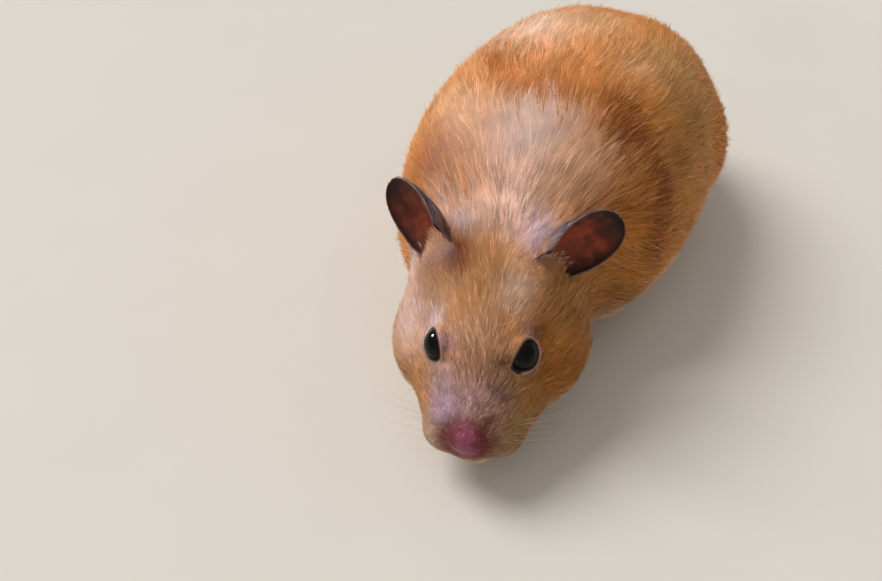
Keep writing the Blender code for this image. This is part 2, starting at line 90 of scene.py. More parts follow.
# Lids: the eye's ball and how far it is set from its solid, the way it looks, the way its opening
# is long, and the line of the lids. The line is given in degrees round from the nose end toward
# the cheek, with its distance along the ball from the middle of the eye.
EYE_RADIUS = 3.75
EYE_SET = {"left": (0.77, 0.50, -0.17), "right": (0.0, 0.52, 0.60)}
EYE_AXIS = (0.38, 0.70, 0.60)
EYE_LONG_WAY = (0.64, -0.60, -0.36)
LID_LINE = {
    "left": (
        (-150, 3.45), (-120, 2.85), (-90, 2.55), (-60, 2.8), (-30, 3.8), (-10, 5.1), (2, 5.8),
        (15, 4.95), (30, 4.25), (50, 4.1), (75, 4.1), (105, 4.05), (140, 4.1), (180, 4.0),
    ),
    "right": (
        (-150, 3.55), (-120, 3.0), (-90, 2.8), (-60, 3.0), (-30, 3.55), (-10, 4.4), (10, 4.7),
        (30, 4.45), (50, 4.2), (75, 4.1), (105, 4.05), (140, 4.1), (180, 4.0),
    ),
}

# A place on the skin has the measure 1 on that line, and 1 more for each LID_SCALE outward. Then
# the distances of the skin from the middle of the eye: in the socket, on the edge of the lids and
# on their crest. Then how far outside the line the lids end, how far from the middle of the eye
# the fur still gives way to it, and how far the cornea stands out of the ball. Last, how many
# faces the ball has around it and from end to end.
LID_SCALE = 3.75
LID_INSIDE = 3.3
LID_EDGE = 3.86
LID_CREST = 4.22
LID_BLEND = 2.6
LID_FUR_REACH = 14.0
CORNEA_BULGE = 0.12
BALL_AROUND = 96
BALL_RINGS = 64

# Ears: a leaf curled about its own length, its hollow turned to its facing. Places and ways are
# in the head frame, as on the left side, and mirrored for the right ear.
EAR_ROOT = {"left": (0.9, 7.9, 10.5), "right": (-0.7, 7.7, 10.5)}
EAR_AIM = {"left": (-0.36, 0.81, 0.46), "right": (-0.52, 0.70, 0.47)}
EAR_FACING = {"left": (0.80, 0.42, 0.16), "right": (0.80, 0.36, 0.24)}
EAR_LENGTH = 21.4
EAR_HALF_WIDTH = {"left": 8.2, "right": 7.6}
EAR_ROOT_HALF_WIDTH = 3.6
EAR_TIP_HALF_WIDTH = 1.0
EAR_WIDEST = {"left": 0.54, "right": 0.42}
EAR_CURL_ROOT = math.radians(190)
EAR_CURL_TIP = math.radians(45)
EAR_BOW = 1.3
EAR_INNER_ROLL = {"left": 0.5, "right": 0.3}
EAR_OUTER_TUCK = {"left": 0.04, "right": 0.03}
EAR_THICKNESS_ROOT = 0.85
EAR_THICKNESS_RIM = 0.42
EAR_ROOT_NARROWING = 0.62
EAR_RIDGE = 0.16
EAR_RIM_ROLL = 0.4
EAR_ROWS = 44
EAR_COLUMNS = 36

# Mouth and nostrils, in the head frame: from below the nose back along one lip, and along one
# nostril, with the width and the depth of each groove.
MOUTH = (
    (38.4, 0.0, -2.6),
    (38.0, 0.0, -4.2),
    (37.2, 0.0, -6.4),
    (36.2, 1.4, -7.8),
    (34.0, 3.8, -9.0),
    (31.0, 5.6, -10.0),
    (27.5, 7.2, -10.4),
)
MOUTH_WIDTH = 0.34
MOUTH_DEPTH = 0.55
NOSTRIL = ((37.9, 1.5, -1.5), (37.5, 2.3, -0.8), (36.9, 2.9, 0.1))
NOSTRIL_WIDTH = 0.46
NOSTRIL_DEPTH = 0.38

# In the head frame too: where the lips swell, how far round it and how much, the middle of the
# nose, and the place that the fur of the head leads away from.
LIP_MIDDLE = (37.0, -0.6, -5.0)
LIP_REACH = 3.4
LIP_SWELL = 0.9
NOSE_MIDDLE = (36.2, -0.7, -1.0)
MUZZLE_ROOT = (40.0, 0.0, -2.5)

# Whiskers: points along each, corners round it, its radius at the root, how low it may hang, and
# the seed of its random draws.
WHISKER_STEPS = 12
WHISKER_SIDES = 4
WHISKER_RADIUS = 0.036
WHISKER_FLOOR = 0.3
WHISKER_SEED = 21

# Middle line of the trunk from the nape to the root of the tail, on the floor plan.
SPINE = (
    (-16.6, -36.1),
    (-13.2, -21.1),
    (-7.5, -6.1),
    (-0.8, 9.9),
    (6.8, 25.9),
    (14.7, 40.9),
    (21.2, 52.9),
    (23.4, 59.9),
)

# The hair of the back fans out from this place over the forehead.
FAN_FROM = (-17.5, -52.0, 0.0)

# Each foot's turn from -Y toward +X, in degrees.
FOOT_TURN = {
    "forefoot_left": -10.0,
    "forefoot_right": -22.0,
    "hindfoot_left": -12.0,
    "hindfoot_right": -32.0,
}

# Fur: its length and how high it lies in each region, what both lose toward some places, how
# much longer it grows toward the rump, and the share of its height that is lost in the furrows.
FUR_LENGTH = {"back": 7.8, "head": 4.6, "foot": 1.0, "tail": 2.2}
FUR_DEPTH = {"back": 1.7, "head": 1.15, "foot": 0.22, "tail": 0.4}
SHORTER = {"under": 2.6, "low": 2.6, "face": 1.7, "muzzle": 1.6}
THINNER = {"under": 0.4, "low": 0.7, "face": 0.35, "muzzle": 0.42}
RUMP_LONGER = 0.6
FURROW_THINNER = 0.45

# Hairs: where the line of a tuft bends, as shares of its length. Then for the three points of a
# hair, root first, where they lie along it, and its height and width there as shares of its own.
# Then how deep the root is sunk, as a share of the fur's height, how low any point may lie, and
# the seed of the random draws.
GUIDE_STEPS = np.array((0.0, 0.36, 0.70, 1.0))
HAIR_STEPS = np.array((0.0, 0.46, 1.0))
HAIR_RISE = np.array((0.0, 0.80, 1.0))
HAIR_WIDTHS = np.array((0.8, 1.0, 0.0))
ROOT_SUNK = 0.12
HAIR_FLOOR = 0.12
HAIR_SEED = 7

# Shares: of pale hairs in a plain tuft and in a pale one, of pale tufts, and of hairs that stray
# out of their tuft.
BRIGHT_SHARE = 0.03
BRIGHT_IN_BRIGHT_TUFT = 0.4
BRIGHT_TUFTS = 0.12
STRAY_SHARE = 0.12

# Pieces of the coat from the nose to the tail, how many of them are on the head, and the side of
# a hair's patch on their flat map.
COAT_PIECES = (
    "coat_face", "coat_head", "coat_nape", "coat_shoulders", "coat_flanks", "coat_loins",
    "coat_rump",
)
HEAD_PIECES = 2
PATCH = 0.003

# Camera: its place, how many degrees it looks down, its focus in pixels of an image of the width
# that follows, and the width of its sensor.
CAMERA_AT = (-29.6, -226.1, 190.0)
CAMERA_PITCH = 41.0
CAMERA_FOCUS = 1200.0
IMAGE_WIDTH = 882.0
SENSOR = 36.0

# Where the lights stand, in metres, and the colour of the sky.
KEY_AT = (-0.42, 0.26, 0.62)
GLINT_AT = (-0.46, 0.21, 0.35)
SKY_COLOUR = (1.0, 0.97, 0.93)


def box_middle(node):
    low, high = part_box(node)
    return np.array((low + high) / 2) / MM


def unit(rows):
    rows = np.asarray(rows, float)
    return rows / np.maximum(np.linalg.norm(rows, axis=-1, keepdims=True), 1e-9)


def head_frame():
    """Origin and axes, as columns forward, left and up, of the head."""
    eyes = {side: box_middle(f"eye_{side}") for side in SIDES}
    middle = (eyes["left"] + eyes["right"]) / 2
    left = unit(eyes["left"] - eyes["right"])
    to_nose = box_middle("nose") - middle
    to_nose = unit(to_nose - left * to_nose.dot(left))
    dip = math.radians(NOSE_DIP)
    forward = to_nose * math.cos(dip) + np.cross(to_nose, left) * math.sin(dip)
    up = np.cross(forward, left)
    return middle - forward * EYES_AHEAD - up * EYES_ABOVE, np.stack([forward, left, up], 1)


HEAD_AT, HEAD_AXES = head_frame()


def head_point(forward, left, up):
    return HEAD_AT + HEAD_AXES @ np.array((forward, left, up))


def head_way(forward, left, up):
    return unit(HEAD_AXES @ np.array((forward, left, up)))


def head_line(line):
    """A line of the head frame as points of the animal."""
    return [head_point(*place) for place in line]


def nose_gaps(points):
    """Distance of each point from the middle of the nose."""
    return np.linalg.norm(points - head_point(*NOSE_MIDDLE), axis=1)


def smooth_step(low, high, value):
    t = np.clip((value - low) / (high - low), 0, 1)
    return t * t * (3 - 2 * t)


def linear(red, green, blue):
    """A colour as seen on a screen, 0 to 255, as Blender's linear values."""
    screen = np.array((red, green, blue)) / 255
    return np.where(screen <= 0.04045, screen / 12.92, ((screen + 0.055) / 1.055) ** 2.4)


def blended(base, other, share):
    """Rows of a table moved toward another value by a share for each row."""
    share = np.asarray(share)[:, None]
    return base * (1 - share) + np.asarray(other) * share


def moved(value, other, share):
    """A value for each point moved toward another by a share."""
    return value + share * (other - value)


def laid(ways, normals):
    """Ways laid into the surface."""
    return unit(ways - normals * (ways * normals).sum(1)[:, None])


def sided_line(points, line):
    """Distance of each point to a line of points, and which lie left of it as seen from above."""
    best = np.full(len(points), 1e9)
    left = np.zeros(len(points), bool)
    line = np.asarray(line, float)
    for a, b in zip(line, line[1:]):
        along = b - a
        rel = points - a
        t = np.clip((rel @ along) / along.dot(along), 0, 1)
        gap = np.linalg.norm(rel - t[:, None] * along, axis=1)
        nearer = gap < best
        best = np.where(nearer, gap, best)
        left = np.where(nearer, along[0] * rel[:, 1] > along[1] * rel[:, 0], left)
    return best, left


def to_line(points, line):
    """Distance of each point to a line of points."""
    return sided_line(points, line)[0]


def spine_rows(points):
    """Station along the trunk, 0 to 7, and the way to the tail, for each point."""
    line = np.array(SPINE)
    best = np.full(len(points), 1e9)
    station = np.zeros(len(points))
    for k, (a, b) in enumerate(zip(line, line[1:])):
        along = b - a
        t = np.clip(((points[:, :2] - a) @ along) / along.dot(along), 0, 1)
        gap = np.linalg.norm(points[:, :2] - a - t[:, None] * along, axis=1)
        nearer = gap < best
        best = np.where(nearer, gap, best)
        station = np.where(nearer, k + t, station)
    ways = unit(np.gradient(line, axis=0))
    low = np.clip(station.astype(int), 0, len(line) - 2)
    share = (station - low)[:, None]
    way = ways[low] * (1 - share) + ways[low + 1] * share
    return station, np.column_stack([unit(way), np.zeros(len(points))])


def solid_finder(names):
    """A finder of the nearest point of some solids, in millimetres."""
    points, faces, start = [], [], 0
    for name in names:
        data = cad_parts[name].data
        points += [v.co / MM for v in data.vertices]
        faces += [[start + i for i in p.vertices] for p in data.polygons]
        start += len(data.vertices)
    return BVHTree.FromPolygons(points, faces)


def distances(finder, points, most=30.0):
    found = (finder.find_nearest(Vector(p), most)[3] for p in points)
    return np.array([most if gap is None else gap for gap in found])


def read_points(data, attribute="co"):
    rows = np.empty(len(data.vertices) * 3, np.float32)
    data.vertices.foreach_get(attribute, rows)
    return rows.reshape(-1, 3).astype(float)


def new_object(name, data):
    made = bpy.data.objects.new(name, data)
    bpy.context.scene.collection.objects.link(made)
    return made


def settled(made):
    """Applies an object's modifiers."""
    graph = bpy.context.evaluated_depsgraph_get()
    data = bpy.data.meshes.new_from_object(made.evaluated_get(graph))
    made.modifiers.clear()
    made.data = data
    return made


def welded_copy(names, title, growth=0.0):
    """A new object of some solids with shared corners, grown outward by a distance."""
    work = bmesh.new()
    for name in names:
        work.from_mesh(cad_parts[name].data)
    bmesh.ops.remove_doubles(work, verts=work.verts, dist=WELD_GAP * MM)
    bmesh.ops.recalc_face_normals(work, faces=work.faces)
    work.normal_update()
    if growth:
        moves = [(v, v.normal.copy()) for v in work.verts]
        for v, way in moves:
            v.co += way * growth * MM
    data = bpy.data.meshes.new(title)
    work.to_mesh(data)
    work.free()
    return new_object(title, data)


def ear_axes(side):
    """Root, aim, facing and across of an ear."""
    mirror = np.array((1, SIDES[side], 1))
    aim = head_way(*(np.array(EAR_AIM[side]) * mirror))
    facing = head_way(*(np.array(EAR_FACING[side]) * mirror))
    facing = unit(facing - aim * facing.dot(aim))
    return head_point(*(np.array(EAR_ROOT[side]) * mirror)), aim, facing, np.cross(aim, facing)


def ear_half_width(side, at):
    most, widest = EAR_HALF_WIDTH[side], EAR_WIDEST[side]
    rise = np.sin(0.5 * np.pi * np.clip(at / widest, 0, 1))
    low = EAR_ROOT_HALF_WIDTH + (most - EAR_ROOT_HALF_WIDTH) * rise
    past = np.clip((at - widest) / (1 - widest), 0, 1)
    high = most * np.sqrt(np.clip(1 - past**2.2, 0, 1))
    return np.where(at < widest, low, np.maximum(high, EAR_TIP_HALF_WIDTH))


def ear_bend(at):
    return (EAR_CURL_ROOT + (EAR_CURL_TIP - EAR_CURL_ROOT) * np.clip(at, 0, 1)) / 2


def ear_roll(side, at, v):
    """How much further the inner edge of an ear rolls in, and how much less its outer edge."""
    inner = smooth_step(0.25, 1.0, -SIDES[side] * v)
    outer = smooth_step(0.2, 1.0, SIDES[side] * v) * np.sin(np.pi * np.clip(at, 0, 1))
    rolled = EAR_INNER_ROLL[side] * inner * (1 - np.clip(at / 0.7, 0, 1))
    return 1 + rolled - EAR_OUTER_TUCK[side] * outer


def ear_points(side, at, v, offset):
    """Points of an ear's leaf: at along it, v across it from -1 to 1, offset out of its hollow."""
    root, aim, facing, across = ear_axes(side)
    bend = ear_bend(at)
    radius = ear_half_width(side, at) / bend
    angle = v * bend * ear_roll(side, at, v)
    spine = root + np.outer(at, aim) * EAR_LENGTH - np.outer(EAR_BOW * 4 * at * (1 - at), facing)
    inward = radius - (radius + offset) * np.cos(angle)
    sideways = (radius + offset) * np.sin(angle)
    return spine + np.outer(inward, facing) + np.outer(sideways, across)


def ear_place(side, points):
    """Where points lie on an ear: at, v and how far outward of its middle sheet."""
    root, aim, facing, across = ear_axes(side)
    rel = points - root
    at = rel @ aim / EAR_LENGTH
    radius = ear_half_width(side, at) / ear_bend(at)
    rel = rel + np.outer(EAR_BOW * 4 * at * (1 - at), facing)
    x, y = rel @ across, radius - rel @ facing
    flat = v = np.arctan2(x, y) / ear_bend(at)
    for _ in range(6):
        v = flat / ear_roll(side, at, v)
    return at, v, np.hypot(x, y) - radius


def on_side(side, points):
    """Which points lie on one side of the head."""
    return (points - HEAD_AT) @ HEAD_AXES[:, 1] * SIDES[side] > 0


def ear_object(side):
    """A thin leathery leaf with a rolled rim and faint ridges, its root sunk in the head."""
    at, v = np.meshgrid(np.linspace(0, 1, EAR_ROWS + 1), np.linspace(-1, 1, EAR_COLUMNS + 1))
    at = 1 - (1 - at.T.ravel()) ** 1.5
    v = v.T.ravel()
    rim = smooth_step(0.6, 1.0, np.maximum(np.abs(v), smooth_step(0.55, 1.0, at)))
    half = (EAR_THICKNESS_ROOT + (EAR_THICKNESS_RIM - EAR_THICKNESS_ROOT) * rim) / 2
    inner_root = (SIDES[side] * v < 0) * (1 - smooth_step(0.0, 0.38, at))
    v = v * (1 - EAR_ROOT_NARROWING * inner_root)
    ridges = EAR_RIDGE * np.sin(v * 8 + 3 * at) * np.sin(np.pi * at) * (1 - rim)
    roll = -EAR_RIM_ROLL * smooth_step(0.8, 1.0, np.abs(v)) * np.sin(np.pi * np.clip(at, 0, 1))
    sheets = [ear_points(side, at, v, roll + ridges + way * half) for way in (-1, 1)]
    count = (EAR_ROWS + 1) * (EAR_COLUMNS + 1)
    index = np.arange(count).reshape(EAR_ROWS + 1, EAR_COLUMNS + 1)
    faces = []
    for base in (0, count):
        grid = index + base
        for i in range(EAR_ROWS):
            for j in range(EAR_COLUMNS):
                quad = (grid[i, j], grid[i + 1, j], grid[i + 1, j + 1], grid[i, j + 1])
                faces.append(tuple(int(k) for k in quad))
    border = [*index[0, :-1], *index[:-1, -1], *index[-1, :0:-1], *index[:0:-1, 0]]
    for near, far in zip(border, border[1:] + border[:1]):
        faces.append((int(near), int(far), int(far) + count, int(near) + count))
    data = bpy.data.meshes.new(f"leaf_{side}")
    data.from_pydata([tuple(p) for p in np.vstack(sheets) * MM], [], faces)
    work = bmesh.new()
    work.from_mesh(data)
    bmesh.ops.recalc_face_normals(work, faces=work.faces)
    work.to_mesh(data)
    work.free()
    return new_object(f"leaf_{side}", data)


def eye_frame(side):
    """Centre of an eye, the way it looks, and the long and short ways of its opening."""
    axis = head_way(EYE_AXIS[0], SIDES[side] * EYE_AXIS[1], EYE_AXIS[2])
    along = head_way(EYE_LONG_WAY[0], SIDES[side] * EYE_LONG_WAY[1], EYE_LONG_WAY[2])
    along = unit(along - axis * along.dot(axis))
    middle = box_middle(f"eye_{side}") + np.array(EYE_SET[side])
    return middle, axis, along, np.cross(axis, along)


def lid_measure(side, points):
    """Distance from the eye's centre, and where a point lies: 1 on the line of the lids."""
    centre, axis, along, across = eye_frame(side)
    rel = points - centre
    reach = np.linalg.norm(rel, axis=1)
    flat_a, flat_b = rel @ along, rel @ across
    flat = np.maximum(np.hypot(flat_a, flat_b), 1e-6)
    arc = (EYE_RADIUS + 0.3) * np.arctan2(flat, rel @ axis)
    turn = np.degrees(np.arctan2(SIDES[side] * flat_b, flat_a))
    ways, arcs = zip(*LID_LINE[side])
    line = sum(np.interp(turn + k, ways, arcs, period=360) for k in (-16, -8, 0, 8, 16)) / 5
    return reach, 1 + (arc - line) / LID_SCALE, rel


def lid_gap(reach, measure):
    """How far a point lies outside the line of the lids, in millimetres."""
    return np.maximum((measure - 1) * LID_SCALE, reach - LID_CREST - 0.2)


def shape_lids(points):
    """Draws the skin into the sockets and up to a soft edge round each eye."""
    for side in SIDES:
        centre = eye_frame(side)[0]
        reach, measure, rel = lid_measure(side, points)
        edge = LID_INSIDE + (LID_EDGE - LID_INSIDE) * smooth_step(0.88, 0.98, measure)
        crest = edge + (LID_CREST - LID_EDGE) * smooth_step(0.98, 1.14, measure)
        gap = lid_gap(reach, measure)
        wanted = crest + (reach - crest) * smooth_step(0.6, LID_BLEND, gap)
        near = (reach < 10) & (gap < LID_BLEND)
        points[near] = centre + rel[near] * (wanted / np.maximum(reach, 1e-6))[near, None]
    return points


def mirrored(line):
    return [(f, -o, u) for f, o, u in line]


def carve(points, normals):
    """Presses the nostrils, the split of the lip and the line of the mouth into the skin."""
    press = np.zeros(len(points))
    for line, width, depth in (
        (MOUTH, MOUTH_WIDTH, MOUTH_DEPTH),
        (NOSTRIL, NOSTRIL_WIDTH, NOSTRIL_DEPTH),
    ):
        for one in (line, mirrored(line)):
            gap = to_line(points, head_line(one))
            press = np.maximum(press, depth * np.exp(-((gap / width) ** 2)))
    lip = np.linalg.norm(points - head_point(*LIP_MIDDLE), axis=1)
    press = press - LIP_SWELL * np.exp(-((lip / LIP_REACH) ** 2))
    return points - normals * press[:, None]


def refine(data):
    """Splits the skin's faces more finely round the nose and the eyes."""
    spots = [(Vector(head_point(*NOSE_MIDDLE)) * MM, FINE_NOSE_REACH * MM)]
    spots += [(Vector(box_middle(eye)) * MM, FINE_EYE_REACH * MM) for eye in EYES]
    work = bmesh.new()
    work.from_mesh(data)
    for _ in range(FINE_ROUNDS):
        chosen = set()
        for face in work.faces:
            middle = face.calc_center_median()
            if any((middle - spot).length < reach for spot, reach in spots):
                chosen.update(face.edges)
        bmesh.ops.subdivide_edges(work, edges=list(chosen), cuts=1, use_grid_fill=True, smooth=0.6)
    bmesh.ops.triangulate(work, faces=[f for f in work.faces if len(f.verts) > 4])
    work.to_mesh(data)
    work.free()


def fur_regions(points, normals):
    """How far each point belongs to each region of the coat, from 0 to 1."""
    forward = ((points - HEAD_AT) @ HEAD_AXES)[:, 0]
    head_gap = distances(solid_finder(("head", "nose")), points)
    feet_gap = distances(solid_finder(FEET), points)
    tail_gap = distances(solid_finder(("tail",)), points)
    return {
        "head": (1 - smooth_step(0.5, 6.0, head_gap)) * smooth_step(-13, -2, forward),
        "face": smooth_step(4, 27, forward),
        "muzzle": smooth_step(24, 34, forward),
        "foot": 1 - smooth_step(0.4, 4.0, feet_gap),
        "leg": 1 - smooth_step(3.0, 9.0, feet_gap),
        "tail": 1 - smooth_step(0.3, 3.5, tail_gap),
        "under": smooth_step(0.2, -0.5, normals[:, 2]),
        "low": 1 - smooth_step(1.0, 10.0, points[:, 2]),
    }


def fur_size(region, size, less, more):
    """Length or depth of the fur: its sizes by region, what it loses toward some places, and what
    it gains along the back."""
    value = size["back"] + more - less["under"] * region["under"] - less["low"] * region["low"]
    head = size["head"] - less["face"] * region["face"] - less["muzzle"] * region["muzzle"]
    value = moved(value, head, region["head"])
    value = moved(value, size["foot"], region["foot"])
    return moved(value, size["tail"], region["tail"])


def fur_flow(points, normals, region, to_tail):
    """The way the fur lies before the eyes and the ears part it."""
    fanned = points - np.array(FAN_FROM)
    fanned[:, 2] = 0
    flow = 0.4 * to_tail + 0.6 * unit(fanned)
    flow = flow + np.outer(0.55 * (1 - np.abs(normals[:, 2])), (0, 0, -1))
    flow = blended(flow, unit(points - head_point(*MUZZLE_ROOT)), region["head"])
    for name, degrees in FOOT_TURN.items():
        turn = math.radians(degrees)
        near = np.linalg.norm(points - box_middle(name), axis=1)
        share = region["foot"] * (1 - smooth_step(8, 14, near))
        flow = blended(flow, (math.sin(turn), -math.cos(turn), -0.1), share)
    limb = region["leg"] * (1 - region["foot"]) * (1 - region["under"]) * (1 - region["head"])
    return blended(flow, (0, 0, -1), 0.8 * limb)


def fur_by_lids(side, points, normals, length, depth, growth, flow):
    """Shortens and thins the fur round an eye, and turns it away from the eye."""
    reach, measure, away = lid_measure(side, points)
    gap = np.maximum(lid_gap(reach, measure), 0)
    here = reach < LID_FUR_REACH
    near = np.where(here, np.exp(-((gap / 2.4) ** 2)), 0)
    outward = laid(away, normals)
    toward_eye = np.minimum((flow * outward).sum(1), 0)
    clear = np.clip(1 + 3 * toward_eye, 0, 1)
    most = 0.7 + 0.7 * gap + 0.9 * clear - 0.35 * np.abs(toward_eye)
    length = np.where(here, np.minimum(length, most), length)
    depth = np.where(here, np.minimum(depth, 0.12 + 0.28 * gap), depth)
    growth = growth * smooth_step(0.3, 0.9, gap)
    flow = flow - outward * (toward_eye * near * 0.8)[:, None]
    return length, depth, growth, flow


def fur_by_ears(side, points, normals, length, depth, flow):
    """Shortens the fur round an ear's root, and turns it up along the ear."""
    root, aim, facing, _ = ear_axes(side)
    out = points - root
    along = out @ aim
    gap = np.linalg.norm(out - np.outer(along, aim), axis=1)
    base = np.where(along > -3, 1 - smooth_step(4.0, 9.5, gap), 0)
    depth = depth * (1 - 0.85 * base)
    length = length * (1 - (0.35 + 0.42 * smooth_step(0.0, 2.5, out @ facing)) * base)
    outward = laid(out, normals)
    inward = np.minimum((flow * outward).sum(1), 0)
    flow = flow - outward * (inward * base * 1.1)[:, None] + np.outer(0.6 * base, aim)
    return length, depth, flow


def coat_fields(points, normals):
    """For each point of the skin: coat length, depth, thickness of growth, and flow."""
    region = fur_regions(points, normals)
    station, to_tail = spine_rows(points)
    longer = RUMP_LONGER * smooth_step(2.5, 6.0, station)
    length = fur_size(region, FUR_LENGTH, SHORTER, longer)
    depth = fur_size(region, FUR_DEPTH, THINNER, 0.0)
    flow = fur_flow(points, normals, region, to_tail)
    nose_gap = nose_gaps(points)
    mouth_gap = to_line(points, head_line(MOUTH + tuple(mirrored(MOUTH))[::-1]))
    growth = (0.3 + 0.7 * smooth_step(4.0, 7.0, nose_gap)) * smooth_step(1.8, 3.2, nose_gap)
    growth = growth * smooth_step(0.25, 0.7, mouth_gap)
    length = length * (0.45 + 0.55 * smooth_step(3.5, 8.0, nose_gap))
    depth = depth * smooth_step(2.9, 5.0, nose_gap)
    for side in SIDES:
        length, depth, growth, flow = fur_by_lids(
            side, points, normals, length, depth, growth, flow)
    for side in SIDES:
        length, depth, flow = fur_by_ears(side, points, normals, length, depth, flow)
    return length, depth, growth, laid(flow, normals)


def ear_growth(points, normals, length, depth, growth, flow):
    """Sparse fine hair on the ears: over the backs, at the hollows' roots and along the rims."""
    on_ear = np.zeros(len(points), bool)
    for side in SIDES:
        aim = ear_axes(side)[1]
        at, v, out = ear_place(side, points)
        here = (at > 0.08) & (at < 1.02) & (np.abs(v) < 1.04) & (np.abs(out) < 0.95)
        here = here & on_side(side, points)
        back = smooth_step(-0.1, 0.1, out)
        fold = back * smooth_step(0.1, 0.5, -SIDES[side] * v) * (1 - smooth_step(0.3, 0.62, at))
        thick = back * (0.42 - 0.3 * at) + 0.05 * (1 - back) * (1 - smooth_step(0.06, 0.3, at))
        thick = np.maximum(thick, 1.6 * fold)
        tip = smooth_step(0.6, 0.9, np.maximum(np.abs(v), at)) * (1 - back)
        growth = np.where(here, thick * (1 - tip), growth)
        length = np.where(here, 2.6 - 2.0 * np.clip(at, 0, 1) + 1.6 * fold, length)
        depth = np.where(here, 0.32 - 0.22 * np.clip(at, 0, 1) + 0.25 * fold, depth)
        up_ear = unit(aim - normals * (normals @ aim)[:, None])
        flow = np.where(here[:, None], up_ear, flow)
        on_ear |= here
    return length, depth, growth, flow, on_ear


